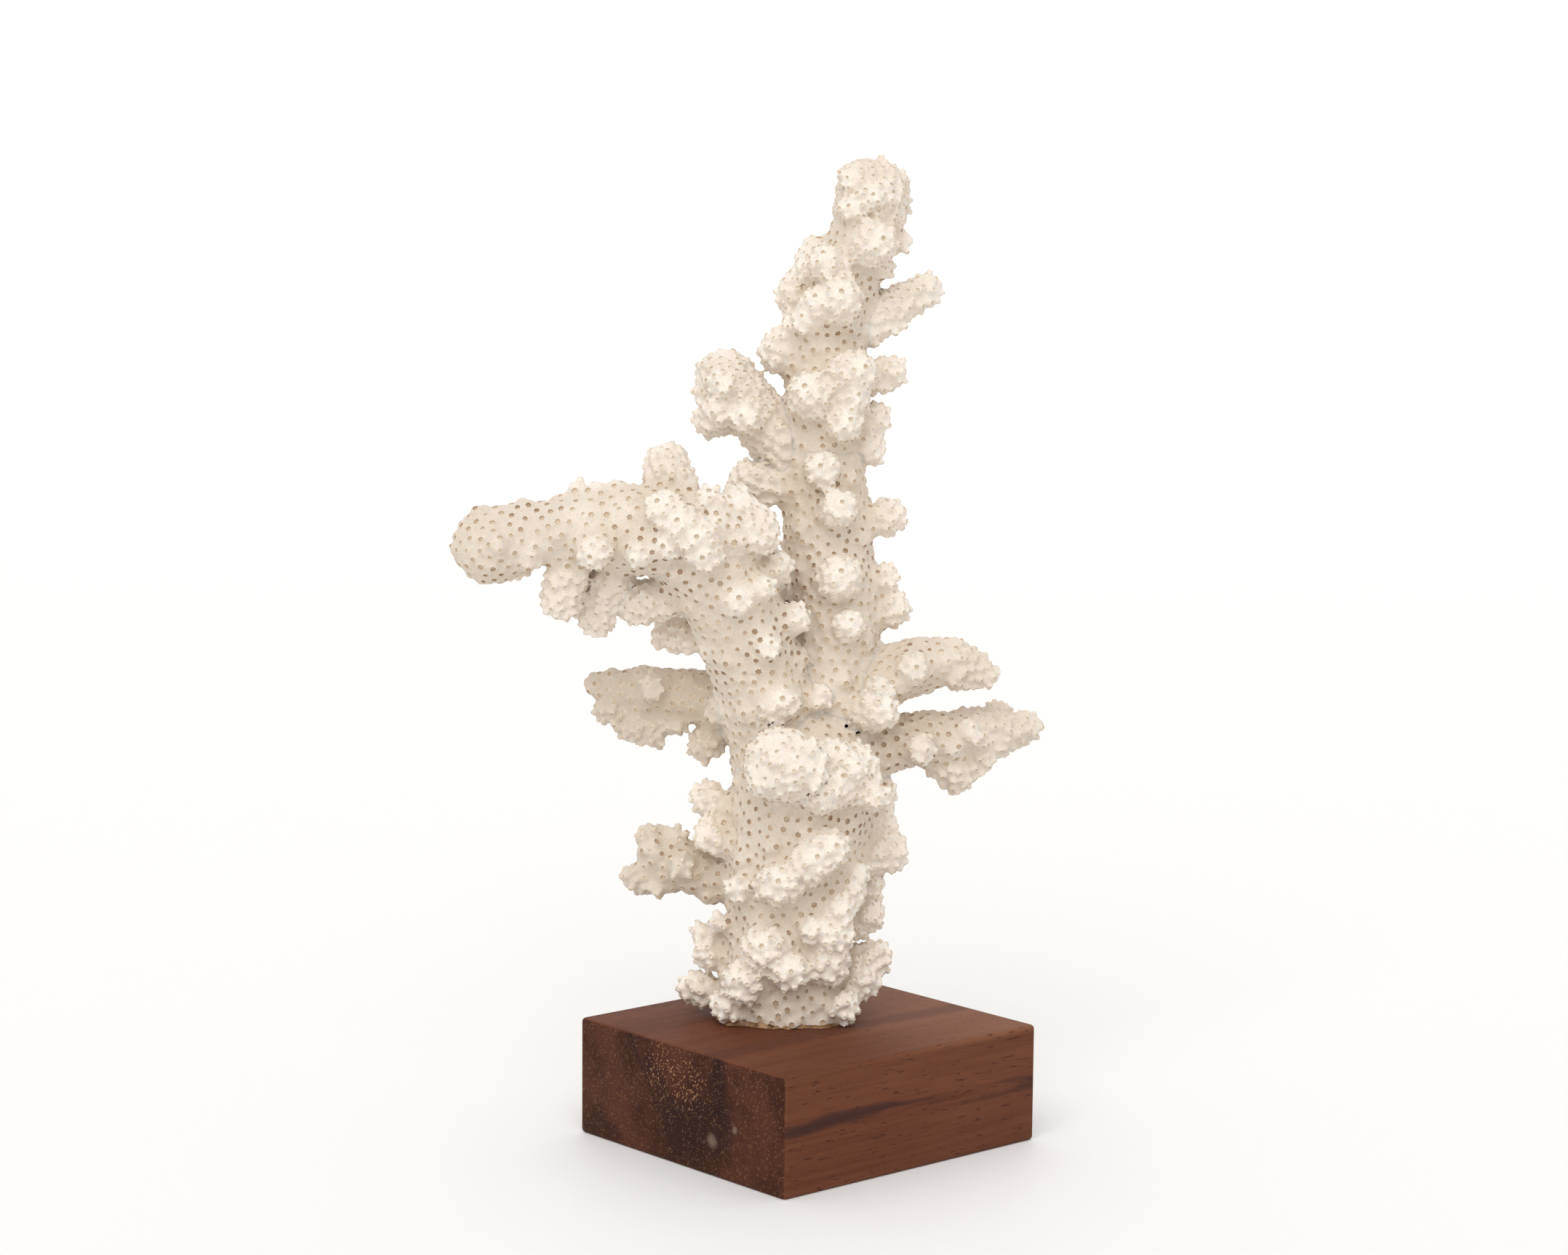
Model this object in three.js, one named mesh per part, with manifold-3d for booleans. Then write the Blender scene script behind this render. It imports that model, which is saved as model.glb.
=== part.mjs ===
// A bleached stony coral with thick limbs and stubby branchlets, fixed upright on a hardwood block.
// Millimetres, +Z up, origin at the centre of the block's underside, X along the grain of the wood.

import * as THREE from "three";
import { mergeVertices } from "three/addons/utils/BufferGeometryUtils.js";
import Module from "manifold-3d";

const wasm = await Module();
wasm.setup();

// Wood block
const BLOCK_LENGTH = 62;
const BLOCK_WIDTH = 58;
const BLOCK_HEIGHT = 22;
const BLOCK_EASE = 0.8;
const BLOCK_CORNER = 0.8;

// Where the coral stands on the block, and how far it is turned there
const FOOT = new THREE.Vector3(-0.5, 5.8, BLOCK_HEIGHT);
const CORAL_TURN = THREE.MathUtils.degToRad(-41.25);

// Clearance between touching pieces, and the adhesive under the foot
const GAP = 0.3;
const GLUE_THICKNESS = 0.7;
const GLUE_OUTLINE = [
  [13.4, 1],
  [10.5, -6.5],
  [4, -10],
  [-4.5, -10],
  [-11, -6.5],
  [-13.4, 1],
  [-10, 9],
  [0, 13],
  [10, 9],
];

// A limb's facets, and its unevenness as a share of the radius in two crossing sets of waves:
// each has a number of waves round the limb and a number of radians along it.
const LIMB_SIDES = 8;
const RING_SPACING = 12;
const LUMP = 0.05;
const LUMP_WAVES = [
  [3, 11],
  [2, -23],
];

// The ends of a limb, as a share of the radius and the place beyond the path's end in radii
const ROUNDED_END = [
  [0.78, 0.42],
  [0, 0.65],
];
const BROKEN_END = [[0, 0.04]];

// A branchlet leans towards the limb's end by a share of its reach from the axis. Its outline is
// a share of the radius, and how far that lies below the tip in radii.
const BRANCHLET_SIDES = 5;
const BRANCHLET_LEAN = 0.3;
const BRANCHLET_ROOT = 1.15;
const BRANCHLET_OUTLINE = [
  [1, 0.95],
  [0.55, 0],
  [0, 0.3],
];

// Branchlets on the side turned away from the front: one to an area, the first a little way up
// the limb, then their size, the angles that they face, and how far each of these moves on from
// one to the next, as a share of its range
const REAR_AREA = 330;
const REAR_START = 0.6;
const REAR_HEIGHT = [2.4, 5.2];
const REAR_RADIUS = [2.3, 3.3];
const REAR_LIMIT = 0.55;
const REAR_TURN = [28, 152];
const TURN_STEP = 0.618034;
const HEIGHT_STEP = 0.754878;
const RADIUS_STEP = 0.56984;

const CORAL = new THREE.MeshStandardMaterial({ color: 0xe8ded0, roughness: 0.85, metalness: 0 });
const WOOD = new THREE.MeshStandardMaterial({ color: 0x6e3f2e, roughness: 0.6, metalness: 0 });
const GLUE = new THREE.MeshStandardMaterial({ color: 0x6b4a26, roughness: 0.5, metalness: 0 });

// The coral's own frame: x to the right, y away from the front, z up from the block's top.
// Each limb has its path, as x, y, z and radius from root to end, and its branchlets, each given
// by the x, y, z of its tip and its radius. A later limb is cut back where it meets an earlier one.
// A limb with a bare rear has no branchlets on the side turned away.
const FOOT_CLEARANCE = 2 * GAP + GLUE_THICKNESS;
const LIMBS = [
  {
    name: "trunk",
    path: [
      [0, 1.5, FOOT_CLEARANCE, 12.8],
      [-0.5, 1, 8, 12],
      [0, 0.5, 18, 11.5],
      [1, 0, 28, 12.8],
      [2.5, 0, 38, 14],
      [3.5, 0, 47, 13.5],
    ],
    branchlets: [
      [-9.5, -12, 9.5, 4],
      [1, -15.5, 12, 3],
      [10, -12, 12.5, 4],
      [-4.5, -14.5, 16.5, 4.5],
      [6, -13.5, 19.5, 2.2],
      [11.5, -11, 22.5, 3],
      [-14.5, -5, 19, 1.8],
      [-10.5, -10, 27, 2.4],
      [-1.5, -16, 29, 4],
      [5.5, -16, 33.5, 4],
      [9, -15.5, 35.5, 4],
      [14, -8, 25.5, 2.5],
      [15, -7, 29, 2.5],
      [-20, 0, 6.5, 2.5],
      [-18, 0, 16.5, 2.3],
      [-17, -4, 36.5, 2.5],
      [-18, 0, 42.5, 2.7],
      [20, 0, 12, 2.8],
      [18.5, 0, 20, 2.8],
      [18.5, 1, 25.5, 2.6],
      [22.5, -1, 32, 3.4],
      [20.5, 0, 37.5, 2.4],
      [20.5, 0, 43, 3],
      [10, -17, 48.5, 4.2],
      [15.5, -13.5, 48, 4],
      [9, -15.5, 53.5, 3.2],
      [15.5, -12, 52, 2.8],
      [-13, -8, 4, 3.4],
      [13.2, -8, 4.2, 3],
      [17, -4, 8.5, 2.8],
      [16, -5, 17.5, 2.6],
      [11, -13, 18, 3],
      [-17.5, -1, 12.5, 2.4],
    ],
  },
  {
    name: "front_stub",
    broken: true,
    bareRear: true,
    path: [
      [0, -5, 46, 6.8],
      [-1, -12, 49, 6.5],
      [-1.7, -19.5, 51.5, 6.1],
    ],
    branchlets: [
      [-1.5, -18.5, 45, 4.5],
      [3.5, -18.5, 45.8, 4.2],
      [4.2, -18.5, 51, 4.2],
      [-5.8, -17, 45.8, 3.6],
      [-5, -19, 54, 3.2],
      [1.7, -19, 55, 3.4],
    ],
  },
  {
    name: "left_limb",
    path: [
      [-1, 0, 46, 9],
      [-4, -2.5, 60, 9],
      [-7, -5, 70, 9],
      [-11, -8, 80, 9],
      [-17, -11, 89, 9],
    ],
    branchlets: [
      [-16.5, -8, 70, 3.2],
      [-25.5, 0, 72, 2.4],
      [-31, -8, 77.5, 3.5],
      [0, -10, 88, 2.8],
      [2.5, -8, 77, 2.2],
      [-3, -14.5, 72.5, 2.6],
      [-1, -12.5, 62, 5],
      [8, -6, 62.5, 2.3],
      [-9, -18, 81, 4],
    ],
  },
  {
    name: "left_arm",
    path: [
      [-15, -11, 91, 8.5],
      [-26, -12.5, 92.5, 8.6],
      [-36, -13, 92.5, 6.8],
      [-45, -13.5, 92, 5.8],
      [-52.5, -14, 90.2, 7.3],
      [-56, -14, 89, 7.4],
    ],
    branchlets: [
      [-39.5, -11, 101, 2.3],
      [-35.5, -12, 101, 2.3],
      [-32, -11, 101.5, 2.3],
      [-24, -9, 107.5, 3.6],
      [-35.5, -21.5, 88.5, 3.3],
      [-23.5, -21, 98.5, 3.4],
      [-20, -23, 95.5, 3.4],
      [-16.5, -23, 92.5, 3.2],
      [-15.5, -22, 88.5, 3.3],
      [-22.5, -21, 90.5, 3.5],
      [-3.5, -12, 94, 4.5],
      [-7, -12, 99, 3.2],
      [-42, -12, 76, 3.2],
      [-37.5, -6, 74, 3],
      [-19.5, -8, 103.5, 3],
      [-14.5, -16, 100, 3.4],
      [-11, -14, 98.5, 3.2],
    ],
  },
  {
    name: "spire_lower",
    path: [
      [5, 2, 46, 9],
      [8, 3, 60, 9],
      [8.5, 3.5, 75, 8.8],
      [7, 4, 90, 8.6],
      [6, 4, 104, 8],
    ],
    branchlets: [
      [11.5, -8, 76, 2.5],
      [9.5, -8.5, 85, 4],
      [9.5, -8, 97.5, 3],
      [5.5, -7, 104, 3],
      [22.5, 3, 78, 2.8],
      [20, 2, 84, 2.6],
      [21.5, 3, 95, 2.8],
      [-11, 0, 101.5, 3],
      [19, -8, 60, 3.2],
    ],
  },
  {
    name: "spire_upper",
    broken: true,
    path: [
      [6, 4, 106, 7.8],
      [6, 4, 115, 7.4],
      [7, 4, 127, 7.3],
      [10.5, 4, 139, 6.6],
      [14, 4, 149, 6.5],
      [14.8, 4, 157, 6.5],
    ],
    branchlets: [
      [17.5, 2, 106, 2.6],
      [18.5, 2, 112.5, 2.5],
      [21.5, 3, 121, 2.4],
      [22.5, 4, 144.5, 2.2],
      [11, -7, 112.5, 3],
      [2.5, -7.5, 118.5, 3.8],
      [13.5, -7, 122, 4],
      [9, -6.5, 135.5, 4],
      [16.5, -5.5, 145, 4],
      [-5.5, 3, 126, 3.8],
      [-3.5, 3, 136, 3.5],
      [2, 3, 144, 3],
      [18.5, 4, 159, 3],
      [-1, 1, 139.5, 3.5],
      [-1.5, 1, 130, 3.2],
      [16.8, 3, 137.5, 2.6],
      [21, 3.5, 149.5, 2.6],
      [12.5, -6.5, 117, 2.8],
      [8.5, 2, 157.5, 3.2],
    ],
  },
  {
    name: "upper_left_branch",
    path: [
      [2, 4, 105, 5.5],
      [-4, 3.5, 110, 5.2],
      [-9, 3, 116, 5],
      [-12.5, 3, 120.5, 5],
    ],
    branchlets: [
      [-6, 3, 120.5, 2.4],
      [-17.5, 3, 119, 2.8],
      [-17.5, 3, 114.5, 2.8],
      [-17.5, 2, 110, 3.2],
      [-9, -3, 112.5, 2.6],
      [-12.5, 2, 126, 3.2],
    ],
  },
  {
    name: "upper_right_twig",
    path: [
      [11, 4, 128, 3.8],
      [19, 4.5, 132.5, 3.6],
      [26, 5, 136.3, 3.1],
    ],
    branchlets: [
      [20.5, 4, 127.8, 2.4],
      [16, 1, 127, 2],
    ],
  },
  {
    name: "right_upper_branch",
    path: [
      [10, 2, 59, 6.2],
      [20, 1, 65, 5.8],
      [27, 1, 67, 4.8],
      [33.5, 1.5, 66.5, 4.2],
    ],
    branchlets: [
      [39.3, 1, 63.8, 2.1],
      [23.5, -6, 67, 3.2],
      [31, 1, 71.8, 2.3],
    ],
  },
  {
    name: "right_lower_branch",
    path: [
      [13, 2, 50, 6.5],
      [23, 4, 52, 5.4],
      [32, 6, 52.5, 4.8],
      [40, 7, 53.8, 3.8],
      [46, 8, 54.3, 2.5],
    ],
    branchlets: [
      [33, 6, 41.8, 3.2],
      [28.5, 5, 45, 2.2],
      [34.5, 0, 55, 2.4],
      [26, -3, 51, 2.8],
      [36.5, 6, 45, 2.6],
      [40, 6.5, 48, 2.2],
    ],
  },
  {
    name: "pointed_left_branch",
    path: [
      [-4, 2, 58, 6],
      [-18, 4, 60.5, 5.2],
      [-29, 4.5, 61.5, 4.3],
      [-37, 4.5, 62.3, 1.8],
    ],
    branchlets: [
      [-33.5, 4, 66.2, 1.8],
      [-26, -2, 63, 2.4],
      [-14, -4, 58.5, 2.6],
      [-35.5, 4, 55.5, 2.5],
      [-30, 4, 51, 2.5],
      [-25.5, 3, 50, 2.2],
      [-16.5, 2, 47.5, 2.4],
      [-9.5, 1, 45.5, 2.4],
      [-28, 3, 66.8, 2.3],
      [-22, 3, 53, 2.2],
    ],
  },
  {
    name: "lower_left_branch",
    path: [
      [-6, 2, 27, 4.8],
      [-17, 3, 28.2, 4.8],
      [-24, 3, 29.8, 4.2],
    ],
    branchlets: [
      [-28, 3, 36.3, 2.6],
      [-21, 2, 36.3, 2.4],
      [-30.5, 3, 24, 2.6],
      [-25, 1, 23, 2.4],
      [-20, -3, 29, 2.4],
    ],
  },
];

const AWAY = new THREE.Vector3(0, 1, 0);
const UP = new THREE.Vector3(0, 0, 1);
const STEEP = 0.8;
const NEARNESS_SAMPLES = 40;
const { degToRad, lerp } = THREE.MathUtils;
const fraction = (value) => value - Math.floor(value);

// The curve through the middle of a limb
function middleOf(limb) {
  const points = limb.path.map(([x, y, z]) => new THREE.Vector3(x, y, z));
  return new THREE.CatmullRomCurve3(points, false, "catmullrom", 0.5);
}

// The limb's middle, radius, direction and two sideways directions at t, from 0 (root) to 1 (end)
function stationOf(limb, curve, t) {
  const spans = limb.path.length - 1;
  const span = Math.min(Math.floor(t * spans), spans - 1);
  const part = t * spans - span;
  const radius = lerp(limb.path[span][3], limb.path[span + 1][3], part);
  const along = curve.getTangent(t);
  const facesFront = Math.abs(curve.getTangent(0.5).dot(AWAY)) > STEEP;
  const across = along.clone().cross(facesFront ? UP : AWAY).normalize();
  const depth = across.clone().cross(along);
  return { middle: curve.getPoint(t), radius, along, across, depth };
}

// A closed mesh as a solid that can be joined and cut
function solidOf(geometry) {
  const bare = geometry.clone();
  bare.deleteAttribute("normal");
  bare.deleteAttribute("uv");
  const merged = mergeVertices(bare, 1e-4);
  const vertProperties = new Float32Array(merged.getAttribute("position").array);
  const triVerts = new Uint32Array(merged.index.array);
  return new wasm.Manifold(new wasm.Mesh({ numProp: 3, vertProperties, triVerts }));
}

function geometryOf(solid) {
  const { vertProperties, triVerts } = solid.getMesh();
  const geometry = new THREE.BufferGeometry();
  geometry.setAttribute("position", new THREE.BufferAttribute(new Float32Array(vertProperties), 3));
  geometry.setIndex(new THREE.BufferAttribute(new Uint32Array(triVerts), 1));
  geometry.computeVertexNormals();
  return geometry;
}

// The limb alone: a turned form whose rings are laid along the limb's curve.
// A profile point holds a share of the radius and the ring's place, and past 1 the ring lies
// beyond the path's last point, measured in radii.
function limbSolid(limb, curve, grown) {
  const rings = Math.max(2, Math.ceil(curve.getLength() / RING_SPACING));
  const profile = [new THREE.Vector2(0, 0)];
  for (let ring = 0; ring <= rings; ring += 1) profile.push(new THREE.Vector2(1, ring / rings));
  for (const [share, beyond] of limb.broken ? BROKEN_END : ROUNDED_END) {
    profile.push(new THREE.Vector2(share, 1 + beyond));
  }
  const geometry = new THREE.LatheGeometry(profile, LIMB_SIDES);
  const position = geometry.getAttribute("position");
  for (let i = 0; i < position.count; i += 1) {
    const place = position.getY(i);
    const spread = Math.hypot(position.getX(i), position.getZ(i));
    const turn = Math.atan2(position.getZ(i), position.getX(i));
    const at = stationOf(limb, curve, Math.min(place, 1));
    const waves = LUMP_WAVES.map(([around, lengthwise]) =>
      Math.sin(around * turn + lengthwise * place),
    );
    const lump = 1 + LUMP * waves[0] * waves[1];
    const reach = spread * (at.radius * lump + grown);
    const beyond = Math.max(place - 1, 0) * (at.radius + 2 * grown);
    const point = at.middle
      .addScaledVector(at.across, reach * Math.cos(turn))
      .addScaledVector(at.depth, reach * Math.sin(turn))
      .addScaledVector(at.along, beyond);
    position.setXYZ(i, point.x, point.y, point.z);
  }
  return solidOf(geometry);
}

// A branchlet: a stubby taper with a dished tip, from the limb's middle out to its tip
function branchletSolid(curve, [x, y, z, radius], grown) {
  const tip = new THREE.Vector3(x, y, z);
  const distance = (t) => curve.getPoint(t).distanceTo(tip);
  let nearest = 0;
  for (let i = 1; i <= NEARNESS_SAMPLES; i += 1) {
    if (distance(i / NEARNESS_SAMPLES) < distance(nearest)) nearest = i / NEARNESS_SAMPLES;
  }
  const reach = distance(nearest);
  const back = (BRANCHLET_LEAN * reach) / curve.getLength();
  const root = curve.getPoint(Math.max(nearest - back, 0));
  const height = root.distanceTo(tip) + grown;
  const wide = radius + grown;
  const profile = [new THREE.Vector2(0, 0), new THREE.Vector2(BRANCHLET_ROOT * wide, 0)];
  for (const [share, below] of BRANCHLET_OUTLINE) {
    profile.push(new THREE.Vector2(share * wide, height - below * radius));
  }
  const geometry = new THREE.LatheGeometry(profile, BRANCHLET_SIDES);
  const outward = tip.clone().sub(root).normalize();
  geometry.applyQuaternion(new THREE.Quaternion().setFromUnitVectors(AWAY, outward));
  geometry.translate(root.x, root.y, root.z);
  return solidOf(geometry);
}

// Branchlets of the side turned away from the front, spread evenly by the golden ratio
function rearBranchlets(limb, curve) {
  const length = curve.getLength();
  const middle = stationOf(limb, curve, 0.5).radius;
  const count = limb.bareRear ? 0 : Math.round((Math.PI * middle * length) / REAR_AREA);
  return Array.from({ length: count }, (_, i) => {
    const at = stationOf(limb, curve, (i + REAR_START) / count);
    const turn = degToRad(lerp(...REAR_TURN, fraction(TURN_STEP * (i + 1))));
    const height = lerp(...REAR_HEIGHT, fraction(HEIGHT_STEP * i));
    const radius = lerp(...REAR_RADIUS, fraction(RADIUS_STEP * i));
    const tip = at.middle
      .addScaledVector(at.across, (at.radius + height) * Math.cos(turn))
      .addScaledVector(at.depth, (at.radius + height) * Math.sin(turn));
    return [tip.x, tip.y, tip.z, Math.min(radius, REAR_LIMIT * middle)];
  });
}

// A whole limb with its branchlets, grown outwards by a clearance where it is used to cut
function coralSolid(limb, grown) {
  const curve = middleOf(limb);
  let solid = limbSolid(limb, curve, grown);
  for (const branchlet of [...limb.branchlets, ...rearBranchlets(limb, curve)]) {
    solid = solid.add(branchletSolid(curve, branchlet, grown));
  }
  return solid;
}

function largestPart(solid) {
  return solid.decompose().reduce((a, b) => (a.volume() > b.volume() ? a : b));
}

// The room that the block and the adhesive need, so nothing of the coral reaches into them
function roomOfBlock() {
  const side = 2 * (BLOCK_LENGTH + BLOCK_WIDTH);
  const room = new THREE.BoxGeometry(side, side, 2 * BLOCK_HEIGHT);
  room.translate(0, 0, FOOT_CLEARANCE - BLOCK_HEIGHT);
  return solidOf(room);
}

function buildCoral() {
  const coral = new THREE.Group();
  let taken = roomOfBlock();
  for (const limb of LIMBS) {
    const solid = largestPart(coralSolid(limb, 0).subtract(taken));
    const mesh = new THREE.Mesh(geometryOf(solid), CORAL);
    mesh.name = limb.name;
    coral.add(mesh);
    taken = taken.add(coralSolid(limb, GAP));
  }
  return coral;
}

function buildGlue() {
  const outline = new THREE.Shape(GLUE_OUTLINE.map(([x, y]) => new THREE.Vector2(x, y)));
  const geometry = new THREE.ExtrudeGeometry(outline, { depth: GLUE_THICKNESS, bevelEnabled: false });
  const mesh = new THREE.Mesh(geometry, GLUE);
  mesh.name = "glue_pad";
  mesh.position.z = GAP;
  return mesh;
}

function buildBlock() {
  const x = BLOCK_LENGTH / 2 - BLOCK_EASE;
  const y = BLOCK_WIDTH / 2 - BLOCK_EASE;
  const outline = new THREE.Shape();
  outline.moveTo(-x + BLOCK_CORNER, -y);
  outline.lineTo(x - BLOCK_CORNER, -y);
  outline.quadraticCurveTo(x, -y, x, -y + BLOCK_CORNER);
  outline.lineTo(x, y - BLOCK_CORNER);
  outline.quadraticCurveTo(x, y, x - BLOCK_CORNER, y);
  outline.lineTo(-x + BLOCK_CORNER, y);
  outline.quadraticCurveTo(-x, y, -x, y - BLOCK_CORNER);
  outline.lineTo(-x, -y + BLOCK_CORNER);
  outline.quadraticCurveTo(-x, -y, -x + BLOCK_CORNER, -y);
  const geometry = new THREE.ExtrudeGeometry(outline, {
    depth: BLOCK_HEIGHT - 2 * BLOCK_EASE,
    curveSegments: 2,
    bevelThickness: BLOCK_EASE,
    bevelSize: BLOCK_EASE,
    bevelSegments: 2,
  });
  const mesh = new THREE.Mesh(geometry, WOOD);
  mesh.name = "wood_block";
  mesh.position.z = BLOCK_EASE;
  return mesh;
}

const specimen = new THREE.Group();
const growth = new THREE.Group();
growth.position.copy(FOOT);
growth.rotation.z = CORAL_TURN;
growth.add(buildCoral(), buildGlue());
specimen.add(buildBlock(), growth);

export default specimen;
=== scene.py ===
"""A bleached stony coral on a small hardwood block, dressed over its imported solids."""

import math

import bpy
import numpy as np
from mathutils import Matrix, Vector
from mathutils import noise as noises


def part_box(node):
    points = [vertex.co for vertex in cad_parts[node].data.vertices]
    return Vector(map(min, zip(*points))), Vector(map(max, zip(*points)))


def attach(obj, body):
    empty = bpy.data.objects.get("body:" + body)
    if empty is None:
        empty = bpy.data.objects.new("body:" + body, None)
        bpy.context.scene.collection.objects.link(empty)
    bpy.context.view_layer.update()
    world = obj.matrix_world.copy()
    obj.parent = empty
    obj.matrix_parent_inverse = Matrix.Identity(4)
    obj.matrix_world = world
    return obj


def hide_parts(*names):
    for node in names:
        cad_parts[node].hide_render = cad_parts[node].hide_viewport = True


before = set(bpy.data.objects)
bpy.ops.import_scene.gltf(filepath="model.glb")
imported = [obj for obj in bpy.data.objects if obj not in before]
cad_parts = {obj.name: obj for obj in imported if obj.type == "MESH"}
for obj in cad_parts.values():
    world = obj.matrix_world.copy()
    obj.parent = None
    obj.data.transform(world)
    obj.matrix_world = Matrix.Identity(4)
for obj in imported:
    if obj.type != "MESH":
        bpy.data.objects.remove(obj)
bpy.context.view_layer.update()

bl_info = {
    "name": "Mounted coral specimen",
    "version": (1, 0, 0),
    "blender": (4, 5, 0),
    "location": "3D View > Sidebar > Specimen",
    "description": "Dresses a branching coral and its wood block",
    "category": "Object",
}

MM = 0.001
BLOCK_LOW, BLOCK_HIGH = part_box("wood_block")

# Where the coral stands, and how far it is turned on its block
FOOT = Vector((-0.5 * MM, 5.8 * MM, BLOCK_HIGH.z))
CORAL_TURN = math.radians(-41.25)

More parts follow.
